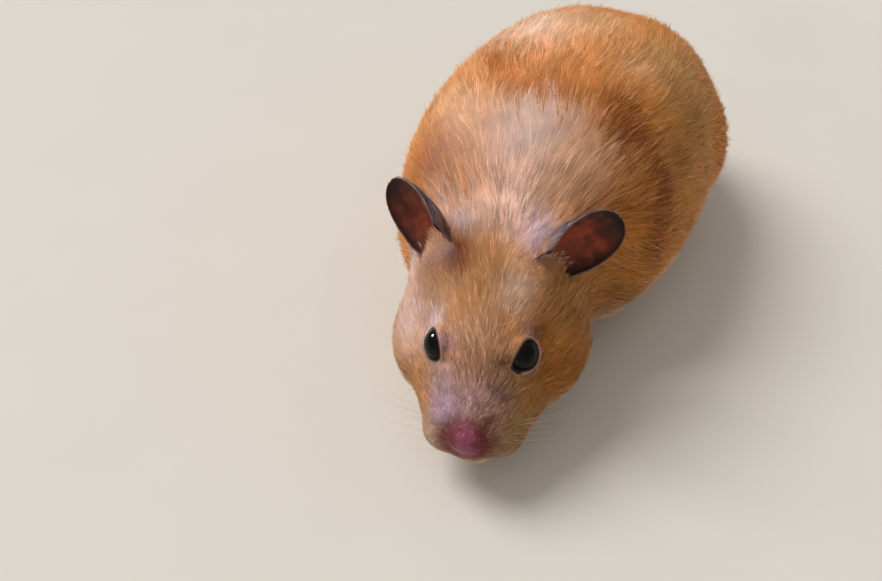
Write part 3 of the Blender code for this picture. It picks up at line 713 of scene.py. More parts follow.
# Colours on the body as screen values, then the soft patches laid over them: place, reach,
# colour and strength.
COAT = {
    "back": (216, 146, 70),
    "head": (194, 138, 78),
    "belly": (232, 210, 184),
    "deep": (196, 108, 22),
    "muzzle": (178, 142, 118),
    "nose": (150, 70, 96),
    "nose_side_deep_and_shade": (120, 22, 34),
    "nostril": (92, 28, 40),
    "mouth": (110, 46, 50),
    "chin": (220, 200, 174),
    "tail": (216, 158, 128),
    "lid": (26, 17, 20),
    "lid_ring": (206, 180, 188),
    "ear_inside": (134, 58, 34),
    "ear_dark": (72, 30, 20),
    "ear_back": (76, 68, 86),
    "ear_edge": (40, 18, 22),
    "ear_rim_highlight": (176, 148, 134),
    "ear_hair": (108, 96, 112),
    "ear_fold": (146, 120, 124),
    "ear_tuft": (200, 156, 136),
    "sole": (214, 152, 140),
}
PATCHES = {
    # Partly painted sheen: the pale pinkish saddle and its front are the coat's own pale colour and
    # painted sheen of light on the top of the back.
    "saddle": ((-11.0, -14.5, 51.0), 12.6, (226, 206, 200), 0.96),
    "front of saddle, pale and sheen": ((-15.0, -29.5, 43.0), 9.0, (238, 212, 202), 0.88),
    "saddle left": ((-0.5, -23.5, 47.2), 7.5, (230, 192, 158), 0.75),
    "saddle right": ((-24.0, -6.0, 49.0), 6.5, (226, 188, 156), 0.85),
    # Painted rim light: the pale edge of the right flank, where light catches the fur from behind.
    "right rim light": ((-28.0, 3.0, 46.5), 7.0, (226, 190, 152), 0.65),
    # Partly painted sheen: the pale loins are the coat's own pale colour and painted sheen of light
    # on the top of the rump.
    "loins, pale and sheen": ((-8.0, 28.0, 52.8), 12.5, (234, 212, 194), 0.95),
    "croup": ((8.0, 27.0, 53.5), 8.0, (222, 184, 140), 0.7),
    "hip": ((11.0, 9.0, 53.2), 7.0, (196, 148, 100), 0.6),
    "croup tufts": ((17.0, 8.0, 51.8), 5.5, (208, 168, 132), 0.65),
    "left croup": ((25.0, 18.0, 48.5), 9.0, (200, 164, 106), 0.75),
    "left haunch": ((27.5, 7.0, 43.5), 8.5, (194, 150, 88), 0.75),
    # Partly painted shade: these dark patches in the valley between the left flank and the haunch are
    # the coat's deep orange, darkened further as painted shade in the dip.
    "left valley, deep and shaded": ((10.0, -14.0, 50.0), 6.0, (150, 82, 16), 0.9),
    "behind the valley, deep and shaded": ((9.2, -8.6, 52.1), 4.2, (126, 62, 6), 0.95),
    "left shoulder": ((9.5, -27.0, 40.0), 6.0, (188, 116, 42), 0.8),
    "behind left ear": ((2.5, -28.5, 43.4), 4.5, (204, 148, 96), 0.6),
    "left flank": ((25.0, -5.0, 40.0), 10.0, (190, 136, 66), 0.8),
    "flank tufts": ((5.5, -20.0, 48.5), 2.6, (206, 150, 98), 0.4),
    "right shoulder": ((-31.0, -13.0, 43.0), 7.5, (166, 88, 8), 0.95),
    "right nape": ((-29.6, -25.2, 41.0), 5.0, (200, 170, 164), 0.6),
    "right ear tuft": ((-25.2, -30.0, 39.9), 3.4, (216, 202, 216), 0.65),
    "right ear spot": ((-26.9, -37.3, 36.2), 5.2, (122, 44, 0), 1.0),
    "right ear shade": ((-32.0, -36.0, 33.5), 3.4, (150, 102, 78), 0.6),
    "below right ear": ((-36.0, -29.0, 26.0), 6.5, (240, 222, 226), 0.8),
    "left ear tuft": ((-9.2, -34.6, 39.2), 4.6, (218, 198, 216), 0.9),
    "crown": ((-18.5, -38.2, 38.5), 4.2, (200, 132, 54), 0.6),
    "brow": ((-14.5, -46.6, 34.8), 4.4, (236, 208, 192), 0.8),
    "forehead": ((-22.5, -54.5, 29.5), 6.0, (198, 160, 140), 0.6),
    "above the brow": ((-19.2, -43.6, 36.2), 3.0, (160, 112, 66), 0.6),
    "right temple": ((-33.0, -43.0, 28.5), 4.8, (154, 110, 80), 0.8),
    "right lid": ((-33.2, -49.6, 25.4), 2.2, (226, 206, 218), 0.8),
    "above right eye": ((-31.2, -48.2, 28.4), 2.6, (214, 194, 210), 0.85),
    "above left eye": ((-11.6, -53.0, 29.0), 1.8, (186, 160, 172), 0.7),
    "left eye corner": ((-9.4, -51.7, 28.3), 2.0, (132, 66, 40), 0.8),
    "between eyes": ((-21.5, -60.5, 25.0), 4.2, (152, 112, 96), 0.75),
    "right eye inner": ((-28.8, -54.4, 28.0), 2.2, (212, 166, 186), 0.7),
    # Painted shade in the inner corner of the left eye.
    "left eye inner shade": ((-17.4, -58.8, 26.4), 3.0, (108, 74, 60), 0.75),
    "left cheek": ((-8.0, -52.0, 19.0), 9.0, (180, 108, 30), 0.8),
    "right cheek": ((-36.6, -45.2, 23.0), 6.5, (240, 212, 200), 0.8),
    "right cheek rim": ((-38.0, -40.0, 25.0), 4.6, (228, 204, 208), 0.75),
    "right whisker bed": ((-29.5, -59.5, 22.4), 4.8, (170, 144, 152), 0.75),
    "right muzzle": ((-28.8, -65.0, 18.8), 4.4, (188, 160, 192), 0.85),
    "right lip": ((-31.7, -65.8, 11.3), 3.4, (218, 190, 162), 0.8),
    "bridge": ((-22.8, -64.2, 22.4), 3.0, (178, 142, 148), 0.8),
    "left bridge": ((-17.6, -63.6, 22.0), 3.6, (130, 96, 98), 0.65),
    "left muzzle": ((-13.5, -66.0, 14.5), 4.5, (176, 142, 84), 0.8),
    # Painted shade over the low left shoulder and neck.
    "left neck shade": ((9.0, -32.0, 18.0), 8.0, (150, 98, 44), 0.6),
    "left nostril": ((-19.8, -67.4, 19.0), 2.0, (122, 56, 64), 0.7),
}

# Furrows across the coat: the line, how far its colour reaches ahead of it and behind it, the
# colour and its strength.
FURROWS = {
    "behind the saddle": (
        ((-20.0, 18.0, 50.2), (-19.0, 8.9, 52.0), (-18.2, 1.6, 52.8), (-15.8, -1.6, 53.5),
         (-12.6, -3.2, 53.9), (-5.7, -5.0, 54.1), (2.0, -9.3, 53.0)),
        1.0, 8.5, (188, 112, 30), 0.9,
    ),
    # Partly painted shade: this furrow's deep colour is the coat's darker orange and painted shade in
    # the valley before the haunch.
    "before the haunch, deep and shaded": (
        ((9.4, -5.6, 52.6), (12.6, -12.6, 48.9), (16.9, -16.4, 43.0), (18.6, -20.4, 36.0),
         (18.0, -24.5, 27.0)),
        4.5, 3.8, (128, 56, 0), 0.9,
    ),
}

# Ways of slow waves that break up straight borders, in radians for each millimetre.
RIPPLES = ((0.53, 0.21, 0.37), (-0.29, 0.61, 0.43), (0.83, -0.47, 0.71), (0.37, 1.05, -0.59))

# Places where the coat lies calm, its hairs alike, and places where fine pale hairs stand out:
# the middle, then how far it reaches.
CALM = (
    ((-11.0, -17.0, 50.2), 11.0),
    ((-6.0, -52.0, 22.0), 10.0),
    ((28.0, -8.0, 33.0), 18.0),
    ((9.0, -31.0, 30.0), 10.0),
    ((-26.6, -37.2, 36.2), 6.0),
    ((-31.0, -13.0, 43.0), 6.5),
)
CRISP = (
    ((-8.0, 4.0, 54.0), 14.0),
    ((12.0, 6.0, 52.0), 12.0),
    ((24.0, 10.0, 49.0), 11.0),
    ((-15.0, -31.0, 44.0), 9.0),
    ((-22.0, -60.0, 26.0), 8.0),
    ((-22.0, -66.0, 20.0), 6.0),
)


def ripple(points):
    """A slow uneven wave over the body, from -1 to 1."""
    waves = [np.sin(points @ np.array(way) + 1.7 * k) for k, way in enumerate(RIPPLES)]
    return sum(waves) / len(waves)


def nearness(points, spots):
    """How near each point is to the nearest of some spots, from 0 to 1."""
    gaps = [(np.linalg.norm(points - np.array(spot), axis=1) / reach) for spot, reach in spots]
    return np.exp(-np.minimum.reduce(gaps) ** 2)


def furrow_shares(points):
    """Each furrow's colour and its strength at each point: sharp ahead of its line, and fading
    behind it."""
    for line, ahead, behind, shade, most in FURROWS.values():
        gap, left = sided_line(points, line)
        yield shade, most * np.exp(-((gap / np.where(left, behind, ahead)) ** 2))


def furrowed(points):
    """The strongest furrow at each point, from 0 to 1."""
    return np.maximum.reduce([share for _, share in furrow_shares(points)])


def painted(colour, name, share):
    """Colours moved toward a named one by a share for each row."""
    return blended(colour, linear(*COAT[name]), share)


def plain(name, points):
    """One named colour for each point."""
    return np.tile(linear(*COAT[name]), (len(points), 1))


def coat_colours(points, normals):
    """The markings, the same for skin and coat."""
    forward, _, up = ((points - HEAD_AT) @ HEAD_AXES).T
    uneven = ripple(points)
    height = points[:, 2] + 3.0 * uneven
    head = smooth_step(-10, 2, forward) * smooth_step(-17, -11, up)
    streaks = 0.3 * np.clip(uneven + 0.1, 0, 1) * (1 - 0.5 * head)
    under = smooth_step(0.1, -0.8, normals[:, 2]) * (1 - smooth_step(10, 26, height))
    low = (1 - smooth_step(-1, 17, height)) * (1 - head)
    muzzle = smooth_step(25, 32, forward + 0.25 * up) * smooth_step(-17, -11, up)
    colour = painted(plain("back", points), "head", head)
    colour = painted(colour, "deep", streaks)
    colour = painted(colour, "belly", 0.8 * under)
    colour = painted(colour, "belly", 0.6 * low)
    colour = painted(colour, "muzzle", 0.8 * muzzle)
    for centre, reach, shade, strength in PATCHES.values():
        gap = np.linalg.norm(points - np.array(centre), axis=1)
        colour = blended(colour, linear(*shade), strength * np.exp(-((gap / reach) ** 2)))
    for shade, share in furrow_shares(points):
        colour = blended(colour, linear(*shade), share)
    colour = painted(colour, "chin", muzzle * smooth_step(-7.6, -9.6, up))
    for side in SIDES:
        reach, measure, rel = lid_measure(side, points)
        outer = smooth_step(-2.5, 2.5, SIDES[side] * (rel @ eye_frame(side)[3]))
        ring = 1 - smooth_step(0.25, 0.95, lid_gap(reach, measure))
        colour = painted(colour, "lid_ring", ring * (0.1 + 0.35 * outer))
    tail = np.linalg.norm(points - box_middle("tail"), axis=1)
    colour = painted(colour, "tail", 0.8 * (1 - smooth_step(2.5, 6.0, tail)))
    on_nose = 1 - smooth_step(3.6, 8.0, nose_gaps(points))
    return blended(colour, nose_colours(points), 0.8 * on_nose)


def nose_colours(points):
    """Muted lilac pink, lighter along the middle and mottled deep pink toward both sides: partly
    the nose's own colour, partly painted light on its ridge and painted shade on its sides.
    """
    out = np.abs((points - HEAD_AT) @ HEAD_AXES[:, 1])
    side = smooth_step(0.4, 3.4, out + 1.3 * ripple(points * 4.0))
    return painted(plain("nose", points), "nose_side_deep_and_shade", 0.9 * side)


def bare_colours(points, colour):
    """Paints what the coat leaves bare on the skin: nose, lips, lids and soles."""
    on_nose = 1 - smooth_step(3.8, 7.0, nose_gaps(points))
    colour = blended(colour, nose_colours(points), on_nose)
    for line, name, width in ((NOSTRIL, "nostril", 0.9), (MOUTH, "mouth", 0.35)):
        for one in (line, mirrored(line)):
            gap = to_line(points, head_line(one))
            colour = painted(colour, name, 0.8 * np.exp(-((gap / width) ** 2)))
    for side in SIDES:
        reach, measure, _ = lid_measure(side, points)
        colour = painted(colour, "lid", 1 - smooth_step(0.0, 0.42, lid_gap(reach, measure)))
    feet = 1 - smooth_step(0.5, 2.0, distances(solid_finder(FEET), points, 3.0))
    return painted(colour, "sole", 0.8 * feet)


def ear_colours(points, colour, on_ear):
    """Paints the leather of the ears: red-brown hollows, dark tips and rims, grey backs, a pale
    painted highlight along the very rim, and at the roots the colour of the coat."""
    for side in SIDES:
        at, v, out = ear_place(side, points)
        here = on_ear & on_side(side, points)
        blotch = 0.3 * ripple(points * 2.2)
        rim = np.maximum(np.abs(v), smooth_step(0.3, 1.0, at)) + blotch
        inside = painted(plain("ear_inside", points), "ear_dark", smooth_step(0.25, 0.95, rim))
        back = painted(plain("ear_back", points), "ear_fold", 1 - smooth_step(0.15, 0.5, at))
        leaf = np.where((out < 0)[:, None], inside, back)
        edge = np.maximum(np.abs(v), at)
        leaf = painted(leaf, "ear_edge", smooth_step(0.86, 0.95, edge))
        # Painted highlight: a pale line along the very rim, where light catches the edge.
        leaf = painted(leaf, "ear_rim_highlight", 0.45 * smooth_step(0.985, 1.0, edge))
        inner = smooth_step(0.1, 0.7, -SIDES[side] * v)
        rooted = 1 - smooth_step(0.0, 1.0, at / (0.1 + 0.22 * inner))
        colour = np.where(here[:, None], blended(leaf, colour, 0.85 * rooted), colour)
    return colour


def ear_hair_colours(points, colour, on_ear):
    """Paints the hairs on the ears: warm in the hollows, grey over the backs, and at their roots
    the colour of the coat round them."""
    for side in SIDES:
        at, _, out = ear_place(side, points)
        here = on_ear & on_side(side, points)
        back = painted(plain("ear_hair", points), "ear_fold", 1 - smooth_step(0.3, 0.55, at))
        hair = np.where((out < 0)[:, None], plain("ear_tuft", points), back)
        reach = np.where(out < 0, 0.45, 0.5)
        own = smooth_step(0.02, reach, at + 0.1 * ripple(points * 3.0))
        colour = np.where(here[:, None], blended(colour, hair, own), colour)
    return colour


def store(data, name, kind, rows):
    """Writes one value for each point of a mesh as a named attribute."""
    layer = data.attributes.get(name) or data.attributes.new(name, kind, "POINT")
    field = {"FLOAT": "value", "FLOAT_VECTOR": "vector", "FLOAT_COLOR": "color"}[kind]
    if kind == "FLOAT_COLOR":
        rows = np.column_stack([rows, np.ones(len(rows))])
    layer.data.foreach_set(field, np.ascontiguousarray(rows, np.float32).ravel())


def fetch(data, name, width):
    rows = np.empty(len(data.vertices) * width, np.float32)
    field = {1: "value", 3: "vector", 4: "color"}[width]
    data.attributes[name].data.foreach_get(field, rows)
    return rows.reshape(-1, width).astype(float) if width > 1 else rows.astype(float)


def node(tree, kind, inputs=None, **settings):
    """A shader node with its settings, values and links."""
    made = tree.nodes.new(kind)
    for key, value in settings.items():
        setattr(made, key, value)
    for key, value in (inputs or {}).items():
        if isinstance(value, bpy.types.NodeSocket):
            tree.links.new(value, made.inputs[key])
        else:
            made.inputs[key].default_value = value
    return made


def new_material(name, **values):
    """A material with one Principled shader, and its tree and shader."""
    made = bpy.data.materials.new(name)
    made.use_nodes = True
    tree = made.node_tree
    shader = tree.nodes["Principled BSDF"]
    for key, value in values.items():
        shader.inputs[key.replace("_", " ")].default_value = value
    return made, tree, shader


def surfaced(tree, shader, colour, roughness):
    """Gives a shader its patterned colour and roughness."""
    tree.links.new(colour, shader.inputs["Base Color"])
    tree.links.new(roughness, shader.inputs["Roughness"])


def bumped(tree, shader, height, strength, distance):
    """Gives a shader a fine relief, its depth in metres."""
    bump = node(
        tree,
        "ShaderNodeBump",
        {"Height": height, "Strength": strength, "Distance": distance},
    )
    tree.links.new(bump.outputs["Normal"], shader.inputs["Normal"])


def stored(tree, name, output="Fac"):
    """A value that the mesh keeps for each point."""
    return node(tree, "ShaderNodeAttribute", attribute_name=name).outputs[output]


def worked(tree, operation, first, second):
    """A sum, product or power of two numbers."""
    return node(tree, "ShaderNodeMath", {0: first, 1: second}, operation=operation).outputs[0]


def grain(tree, scale, detail=3.0, roughness=0.55):
    """Noise in the object's own space, with its scale in marks for each metre."""
    place = node(tree, "ShaderNodeTexCoord")
    return node(
        tree,
        "ShaderNodeTexNoise",
        {"Vector": place.outputs["Object"], "Scale": scale, "Detail": detail, "Roughness": roughness},
    )


def ranged(tree, value, low, high, from_low=0.0, from_high=1.0):
    return node(
        tree,
        "ShaderNodeMapRange",
        {"Value": value, "From Min": from_low, "From Max": from_high, "To Min": low, "To Max": high},
    ).outputs["Result"]


def mixed(tree, blend, factor, first, second):
    return node(
        tree,
        "ShaderNodeMix",
        {0: factor, 6: first, 7: second},
        data_type="RGBA",
        blend_type=blend,
    ).outputs[2]


def scaled_colour(tree, colour, factor):
    return node(
        tree,
        "ShaderNodeVectorMath",
        {0: colour, "Scale": factor},
        operation="SCALE",
    ).outputs["Vector"]


def skin_material():
    """Bare skin under the coat: mottled, finely creased, a little moist at the nose."""
    made, tree, shader = new_material(
        "hamster_skin", Specular_IOR_Level=0.4,
        Subsurface_Weight=0.12, Subsurface_Radius=(0.0012, 0.0005, 0.0003))
    mottle = grain(tree, 900.0).outputs["Fac"]
    fine = grain(tree, 3200.0).outputs["Fac"]
    colour = scaled_colour(tree, stored(tree, "marking", "Color"),
                           ranged(tree, mottle, 0.72, 1.22, 0.3, 0.7))
    wet = ranged(tree, stored(tree, "moist"), 0.0, 0.26)
    surfaced(tree, shader, colour, worked(tree, "SUBTRACT", ranged(tree, fine, 0.5, 0.75), wet))
    bumped(tree, shader, fine, 0.35, 0.00012)
    return made


def ear_material():
    """Thin dark leather with fine pores, soft light showing through."""
    made, tree, shader = new_material(
        "ear_leather", Specular_IOR_Level=0.22, Sheen_Weight=0.05, Sheen_Roughness=0.4,
        Subsurface_Weight=0.15, Subsurface_Radius=(0.0015, 0.0004, 0.0002))
    mottle = grain(tree, 420.0, 4.0).outputs["Fac"]
    pores = node(
        tree,
        "ShaderNodeTexVoronoi",
        {"Vector": node(tree, "ShaderNodeTexCoord").outputs["Object"], "Scale": 2600.0},
    ).outputs["Distance"]
    colour = scaled_colour(tree, stored(tree, "marking", "Color"),
                           ranged(tree, mottle, 0.55, 1.5, 0.3, 0.7))
    surfaced(tree, shader, colour, ranged(tree, mottle, 0.42, 0.68))
    bumped(tree, shader, pores, 0.3, 0.0001)
    return made


def coat_material(name, paleness):
    """Fine hair: deep at the root, pale at the tip, each tuft a little different. The deep root is
    partly the hair's own colour and partly painted shade among the hairs.
    """
    made, tree, shader = new_material(
        name, Specular_IOR_Level=0.16, Sheen_Weight=0.05, Sheen_Roughness=0.45,
        Sheen_Tint=(1.0, 0.9, 0.86, 1.0))
    colour = stored(tree, "marking", "Color")
    along, tuft = stored(tree, "along"), stored(tree, "tuft")
    # Darker toward the root: partly the hair's own colour, partly painted shade among the hairs, as
    # the coat casts no shadow of its own.
    ramp = node(tree, "ShaderNodeValToRGB", {"Fac": along})
    ramp.color_ramp.elements[0].color = (0.74, 0.62, 0.52, 1)
    ramp.color_ramp.elements[1].color = (1, 1, 1, 1)
    ramp.color_ramp.elements.new(0.4).color = (0.96, 0.93, 0.90, 1)
    deepened = mixed(tree, "MULTIPLY", 1.0, colour, ramp.outputs["Color"])
    mottle = grain(tree, 160.0, 3.0).outputs["Fac"]
    varied = scaled_colour(tree, deepened, ranged(tree, tuft, 0.64, 1.48))
    varied = scaled_colour(tree, varied, ranged(tree, mottle, 0.86, 1.14, 0.3, 0.7))
    pale_tip = worked(tree, "MULTIPLY", worked(tree, "POWER", along, 2.0),
                      ranged(tree, tuft, 0.04, 0.1))
    bright = ranged(tree, tuft, 0.0, 0.6, 0.9, 1.0)
    light_hair = mixed(tree, "MIX", paleness, scaled_colour(tree, colour, 1.7),
                       (0.82, 0.63, 0.44, 1))
    tipped = mixed(tree, "MIX", worked(tree, "ADD", pale_tip, bright), varied, light_hair)
    surfaced(tree, shader, tipped, ranged(tree, tuft, 0.5, 0.68))
    return made


def skin_object():
    """One closed skin over the whole animal, inside the coat."""
    made = welded_copy(FLESH + EYES, "skin", GAP_CLOSING)
    remesh = made.modifiers.new("fuse", "REMESH")
    remesh.mode = "VOXEL"
    remesh.voxel_size = SKIN_VOXEL * MM
    smooth = made.modifiers.new("soften", "SMOOTH")
    smooth.factor = 0.5
    smooth.iterations = SKIN_SMOOTHING
    settled(made)
    data = made.data
    points, normals = read_points(data) / MM, read_points(data, "normal")
    depth = coat_fields(points, normals)[1]
    points = points - normals * (depth + GAP_CLOSING)[:, None]
    points[:, 2] = np.maximum(points[:, 2], SKIN_FLOOR)
    data.vertices.foreach_set("co", (points * MM).astype(np.float32).ravel())
    refine(data)
    points, normals = read_points(data) / MM, read_points(data, "normal")
    points = carve(shape_lids(points), normals)
    data.vertices.foreach_set("co", (points * MM).astype(np.float32).ravel())
    data.update()
    joined = [ear_object(side) for side in SIDES]
    for foot in FEET:
        fine = welded_copy((foot,), f"fine_{foot}")
        round_off = fine.modifiers.new("round", "SUBSURF")
        round_off.levels = round_off.render_levels = 2
        joined.append(settled(fine))
    for other in joined:
        union = made.modifiers.new("join", "BOOLEAN")
        union.operation = "UNION"
        union.solver = "MANIFOLD"
        union.object = other
    settled(made)
    for other in joined:
        bpy.data.objects.remove(other)
    return made


def dress_skin(made):
    """Stores the coat's fields and the markings on the skin, and gives it its materials."""
    data = made.data
    data.shade_smooth()
    points, normals = read_points(data) / MM, read_points(data, "normal")
    fields = coat_fields(points, normals)
    length, depth, growth, flow, on_ear = ear_growth(points, normals, *fields)
    colour = bare_colours(points, coat_colours(points, normals))
    colour = ear_colours(points, colour, on_ear)
    store(data, "length", "FLOAT", length)
    store(data, "depth", "FLOAT", depth)
    store(data, "growth", "FLOAT", growth)
    store(data, "on_ear", "FLOAT", on_ear)
    store(data, "flow", "FLOAT_VECTOR", flow)
    store(data, "marking", "FLOAT_COLOR", colour)
    store(data, "moist", "FLOAT", 1 - smooth_step(2.5, 4.0, nose_gaps(points)))
    data.materials.clear()
    data.materials.append(skin_material())
    data.materials.append(ear_material())
    corners = np.empty(len(data.loops), np.int32)
    data.loops.foreach_get("vertex_index", corners)
    starts = np.empty(len(data.polygons), np.int32)
    data.polygons.foreach_get("loop_start", starts)
    data.polygons.foreach_set("material_index", on_ear[corners[starts]].astype(np.int32))


def triangles(data):
    data.calc_loop_triangles()
    rows = np.empty(len(data.loop_triangles) * 3, np.int32)
    data.loop_triangles.foreach_get("vertices", rows)
    return rows.reshape(-1, 3)


def scatter(points, faces, weight, count, rng):
    """Evenly drawn places on a mesh: the face of each, and its three shares."""
    a, b, c = points[faces[:, 0]], points[faces[:, 1]], points[faces[:, 2]]
    area = np.linalg.norm(np.cross(b - a, c - a), axis=1) / 2
    total = np.cumsum(area * weight[faces].mean(1))
    draws = (np.arange(count) + rng.random(count)) / count * total[-1]
    face = np.minimum(np.searchsorted(total, draws), len(faces) - 1)
    first, second = rng.random(count), rng.random(count)
    over = first + second > 1
    first[over], second[over] = 1 - first[over], 1 - second[over]
    return face, np.column_stack([1 - first - second, first, second])


def gathered(values, faces, face, shares):
    """Values of a mesh's points at drawn places."""
    rows = values[faces[face]]
    if rows.ndim == 2:
        return (rows * shares).sum(1)
    return (rows * shares[:, :, None]).sum(1)


def turned(ways, normals, angles):
    """Ways in the surface turned about its normal."""
    side = np.cross(normals, ways)
    return ways * np.cos(angles)[:, None] + side * np.sin(angles)[:, None]


def ranked(values):
    """The rank of each value, the lowest first."""
    return np.argsort(np.argsort(values, kind="stable"), kind="stable")


def hair_mesh(name, rows, sides, normals, along, colour, tuft, places):
    """One mesh of tapered flat hairs. rows holds three points for each hair, root first."""
    count = len(rows)
    points = np.empty((count, 5, 3), np.float32)
    for k in range(2):
        points[:, 2 * k] = rows[:, k] - sides[:, k]
        points[:, 2 * k + 1] = rows[:, k] + sides[:, k]
    points[:, 4] = rows[:, 2]
    faces = ((0, 1, 3, 2), (2, 3, 4))
    pattern = np.concatenate([np.array(face) for face in faces])
    loops = (np.arange(count)[:, None] * 5 + pattern).ravel()
    sizes = np.array([len(face) for face in faces])
    starts = (np.arange(count)[:, None] * sizes.sum() + (np.cumsum(sizes) - sizes)).ravel()
    data = bpy.data.meshes.new(name)
    data.vertices.add(count * 5)
    data.vertices.foreach_set("co", (points * MM).ravel())
    data.loops.add(len(loops))
    data.loops.foreach_set("vertex_index", loops.astype(np.int32))
    data.polygons.add(len(starts))
    data.polygons.foreach_set("loop_start", starts.astype(np.int32))
    data.update(calc_edges=True)
    data.shade_smooth()
    spread = np.array([0, 0, 1, 1, 2])
    store(data, "along", "FLOAT", along[:, spread].ravel())
    store(data, "marking", "FLOAT_COLOR", np.repeat(colour, 5, axis=0))
    store(data, "tuft", "FLOAT", np.repeat(tuft, 5))
    across = np.array([-0.5, 0.5, -0.5, 0.5, 0.0])
    flat = np.empty((count, 5, 2), np.float32)
    flat[:, :, 0] = places[:, None, 0] + across * PATCH
    flat[:, :, 1] = places[:, None, 1] + (spread / 2 - 0.5) * PATCH
    layer = data.uv_layers.new(name="OFBake")
    layer.data.foreach_set("uv", flat.reshape(-1, 2)[loops].ravel())
    data.normals_split_custom_set_from_vertices(normals[:, spread].reshape(-1, 3).astype(np.float32))
    return new_object(name, data)


class Coat:
    """The coat's hairs, drawn on the skin and laid along its flow in tufts."""

    def __init__(self, skin, sizes):
        self.rng = np.random.default_rng(HAIR_SEED)
        self.sizes = sizes
        data = skin.data
        self.points = read_points(data) / MM
        self.normals = read_points(data, "normal")
        self.faces = triangles(data)
        self.length = fetch(data, "length", 1) * sizes.coat_length
        self.depth = fetch(data, "depth", 1) * (1 - FURROW_THINNER * furrowed(self.points))
        self.growth = fetch(data, "growth", 1)
        self.on_ear = fetch(data, "on_ear", 1)
        self.flow = fetch(data, "flow", 3)
        self.finder = BVHTree.FromPolygons(self.points.tolist(), self.faces.tolist())

    def at(self, values, place):
        """Values of the skin's points at drawn places."""
        return gathered(values, self.faces, *place)

    def guides(self, count):
        """Walks a short line over the skin for each tuft, and draws the tuft's own traits."""
        fine = self.growth * np.clip(6.5 / self.length, 0.9, 4.5)
        place = scatter(self.points, self.faces, fine, count, self.rng)
        spot = self.at(self.points, place)
        normal = unit(self.at(self.normals, place))
        way = unit(self.at(self.flow, place))
        length = self.at(self.length, place)
        wave = np.array([noise.noise(Vector(p) / 9.0) for p in spot])
        angle = self.rng.normal(0, 0.10, count) + 0.5 * wave
        lines, normals = [spot], [normal]
        for near, far in zip(GUIDE_STEPS, GUIDE_STEPS[1:]):
            step = turned(way, normal, angle) * (length * (far - near))[:, None]
            found = [self.finder.find_nearest(p) for p in (lines[-1] + step).tolist()]
            corners = self.faces[[row[2] for row in found]]
            normal = unit(self.normals[corners].mean(1))
            way = laid(unit(0.5 * way + self.flow[corners].mean(1)), normal)
            lines.append(np.array([row[0] for row in found]))
            normals.append(normal)
        self.guide_lines = np.stack(lines, 1)
        self.guide_normals = np.stack(normals, 1)
        self.guide_lift = 1 + self.rng.normal(0, 0.09, count) + 0.2 * wave
        patchy = np.array([noise.noise(Vector(p) / 1.6) for p in self.guide_lines[:, 0]])
        self.guide_tone = np.clip(0.5 * self.rng.random(count) + 0.25 + 0.55 * patchy, 0, 1)
        self.guide_bright = self.rng.random(count) < BRIGHT_TUFTS
        self.guide_shift = self.rng.normal(0, 1.9, count)
        self.guide_tree = KDTree(count)
        for i, p in enumerate(lines[0].tolist()):
            self.guide_tree.insert(p, i)
        self.guide_tree.balance()

    def own_guides(self, roots, normals):
        """The nearest guide of each hair that grows on the same side of the skin."""
        own = np.empty(len(roots), int)
        ways = self.guide_normals[:, 0]
        for k, (root, normal) in enumerate(zip(roots.tolist(), normals)):
            near = [found[1] for found in self.guide_tree.find_n(root, 4)]
            fits = [i for i in near if ways[i].dot(normal) > 0.3]
            own[k] = fits[0] if fits else near[0]
        return own

    def hairs(self, count):
        """Draws the roots of all hairs, then lays, widens and colours them."""
        rng = self.rng
        fine = self.growth * np.clip(5.5 / self.length, 0.75, 3.4)
        place = scatter(self.points, self.faces, fine, count, rng)
        self.root = self.at(self.points, place)
        self.root_depth = self.at(self.depth, place)
        self.root_length = self.at(self.length, place)
        self.own = self.own_guides(self.root, unit(self.at(self.normals, place)))
        self.offset = self.root - self.guide_lines[self.own, 0]
        self.stray = rng.random(count) < STRAY_SHARE
        self.calm, self.crisp = nearness(self.root, CALM), nearness(self.root, CRISP)
        share = np.where(self.guide_bright[self.own], BRIGHT_IN_BRIGHT_TUFT, BRIGHT_SHARE)
        share = share * (1 - self.calm) * (1 + 1.4 * self.crisp)
        self.bright = rng.random(count) < share * (1 - 0.5 * furrowed(self.root))
        self.lay(count)
        self.widen(count)
        self.paint(count, self.at(self.on_ear, place) > 0.5)

    def lay(self, count):
        """Three points for each hair, gathered to its tuft's line, and the normals there."""
        rng, stray, depth = self.rng, self.stray, self.root_depth
        stretch = rng.uniform(0.7, 1.06, count) + 0.08 * self.bright + 0.14 * stray
        clump = np.clip(rng.normal(0.42, 0.2, count) + 0.15 * self.crisp, 0.0, 0.9)
        clump = np.where(stray, 0.0, clump)
        self.rise = rng.random(count)
        lift = self.guide_lift[self.own] * (0.62 + 0.46 * self.rise) + 0.06 * self.bright
        lift = np.where(stray, lift * rng.uniform(1.0, 1.75, count), lift) * depth
        drift = rng.normal(0, 1, (count, 3)) * (0.05 * self.root_length)[:, None]
        rows = np.empty((count, 3, 3))
        self.row_normals = np.empty((count, 3, 3))
        for k, (at, high) in enumerate(zip(HAIR_STEPS, HAIR_RISE)):
            spot, normal = self.along_guide(self.own, at * stretch)
            spot = spot + self.offset * (1 - clump * at**1.3)[:, None]
            rows[:, k] = spot + normal * (lift * high)[:, None] + drift * at**1.5
            self.row_normals[:, k] = normal
        rows[:, 0] = self.root + self.row_normals[:, 0] * (-ROOT_SUNK * depth)[:, None]
        rows[:, :, 2] = np.maximum(rows[:, :, 2], HAIR_FLOOR)
        self.rows = rows
        self.along = np.tile(HAIR_STEPS, (count, 1)) * np.clip(stretch, 0.8, 1.1)[:, None]

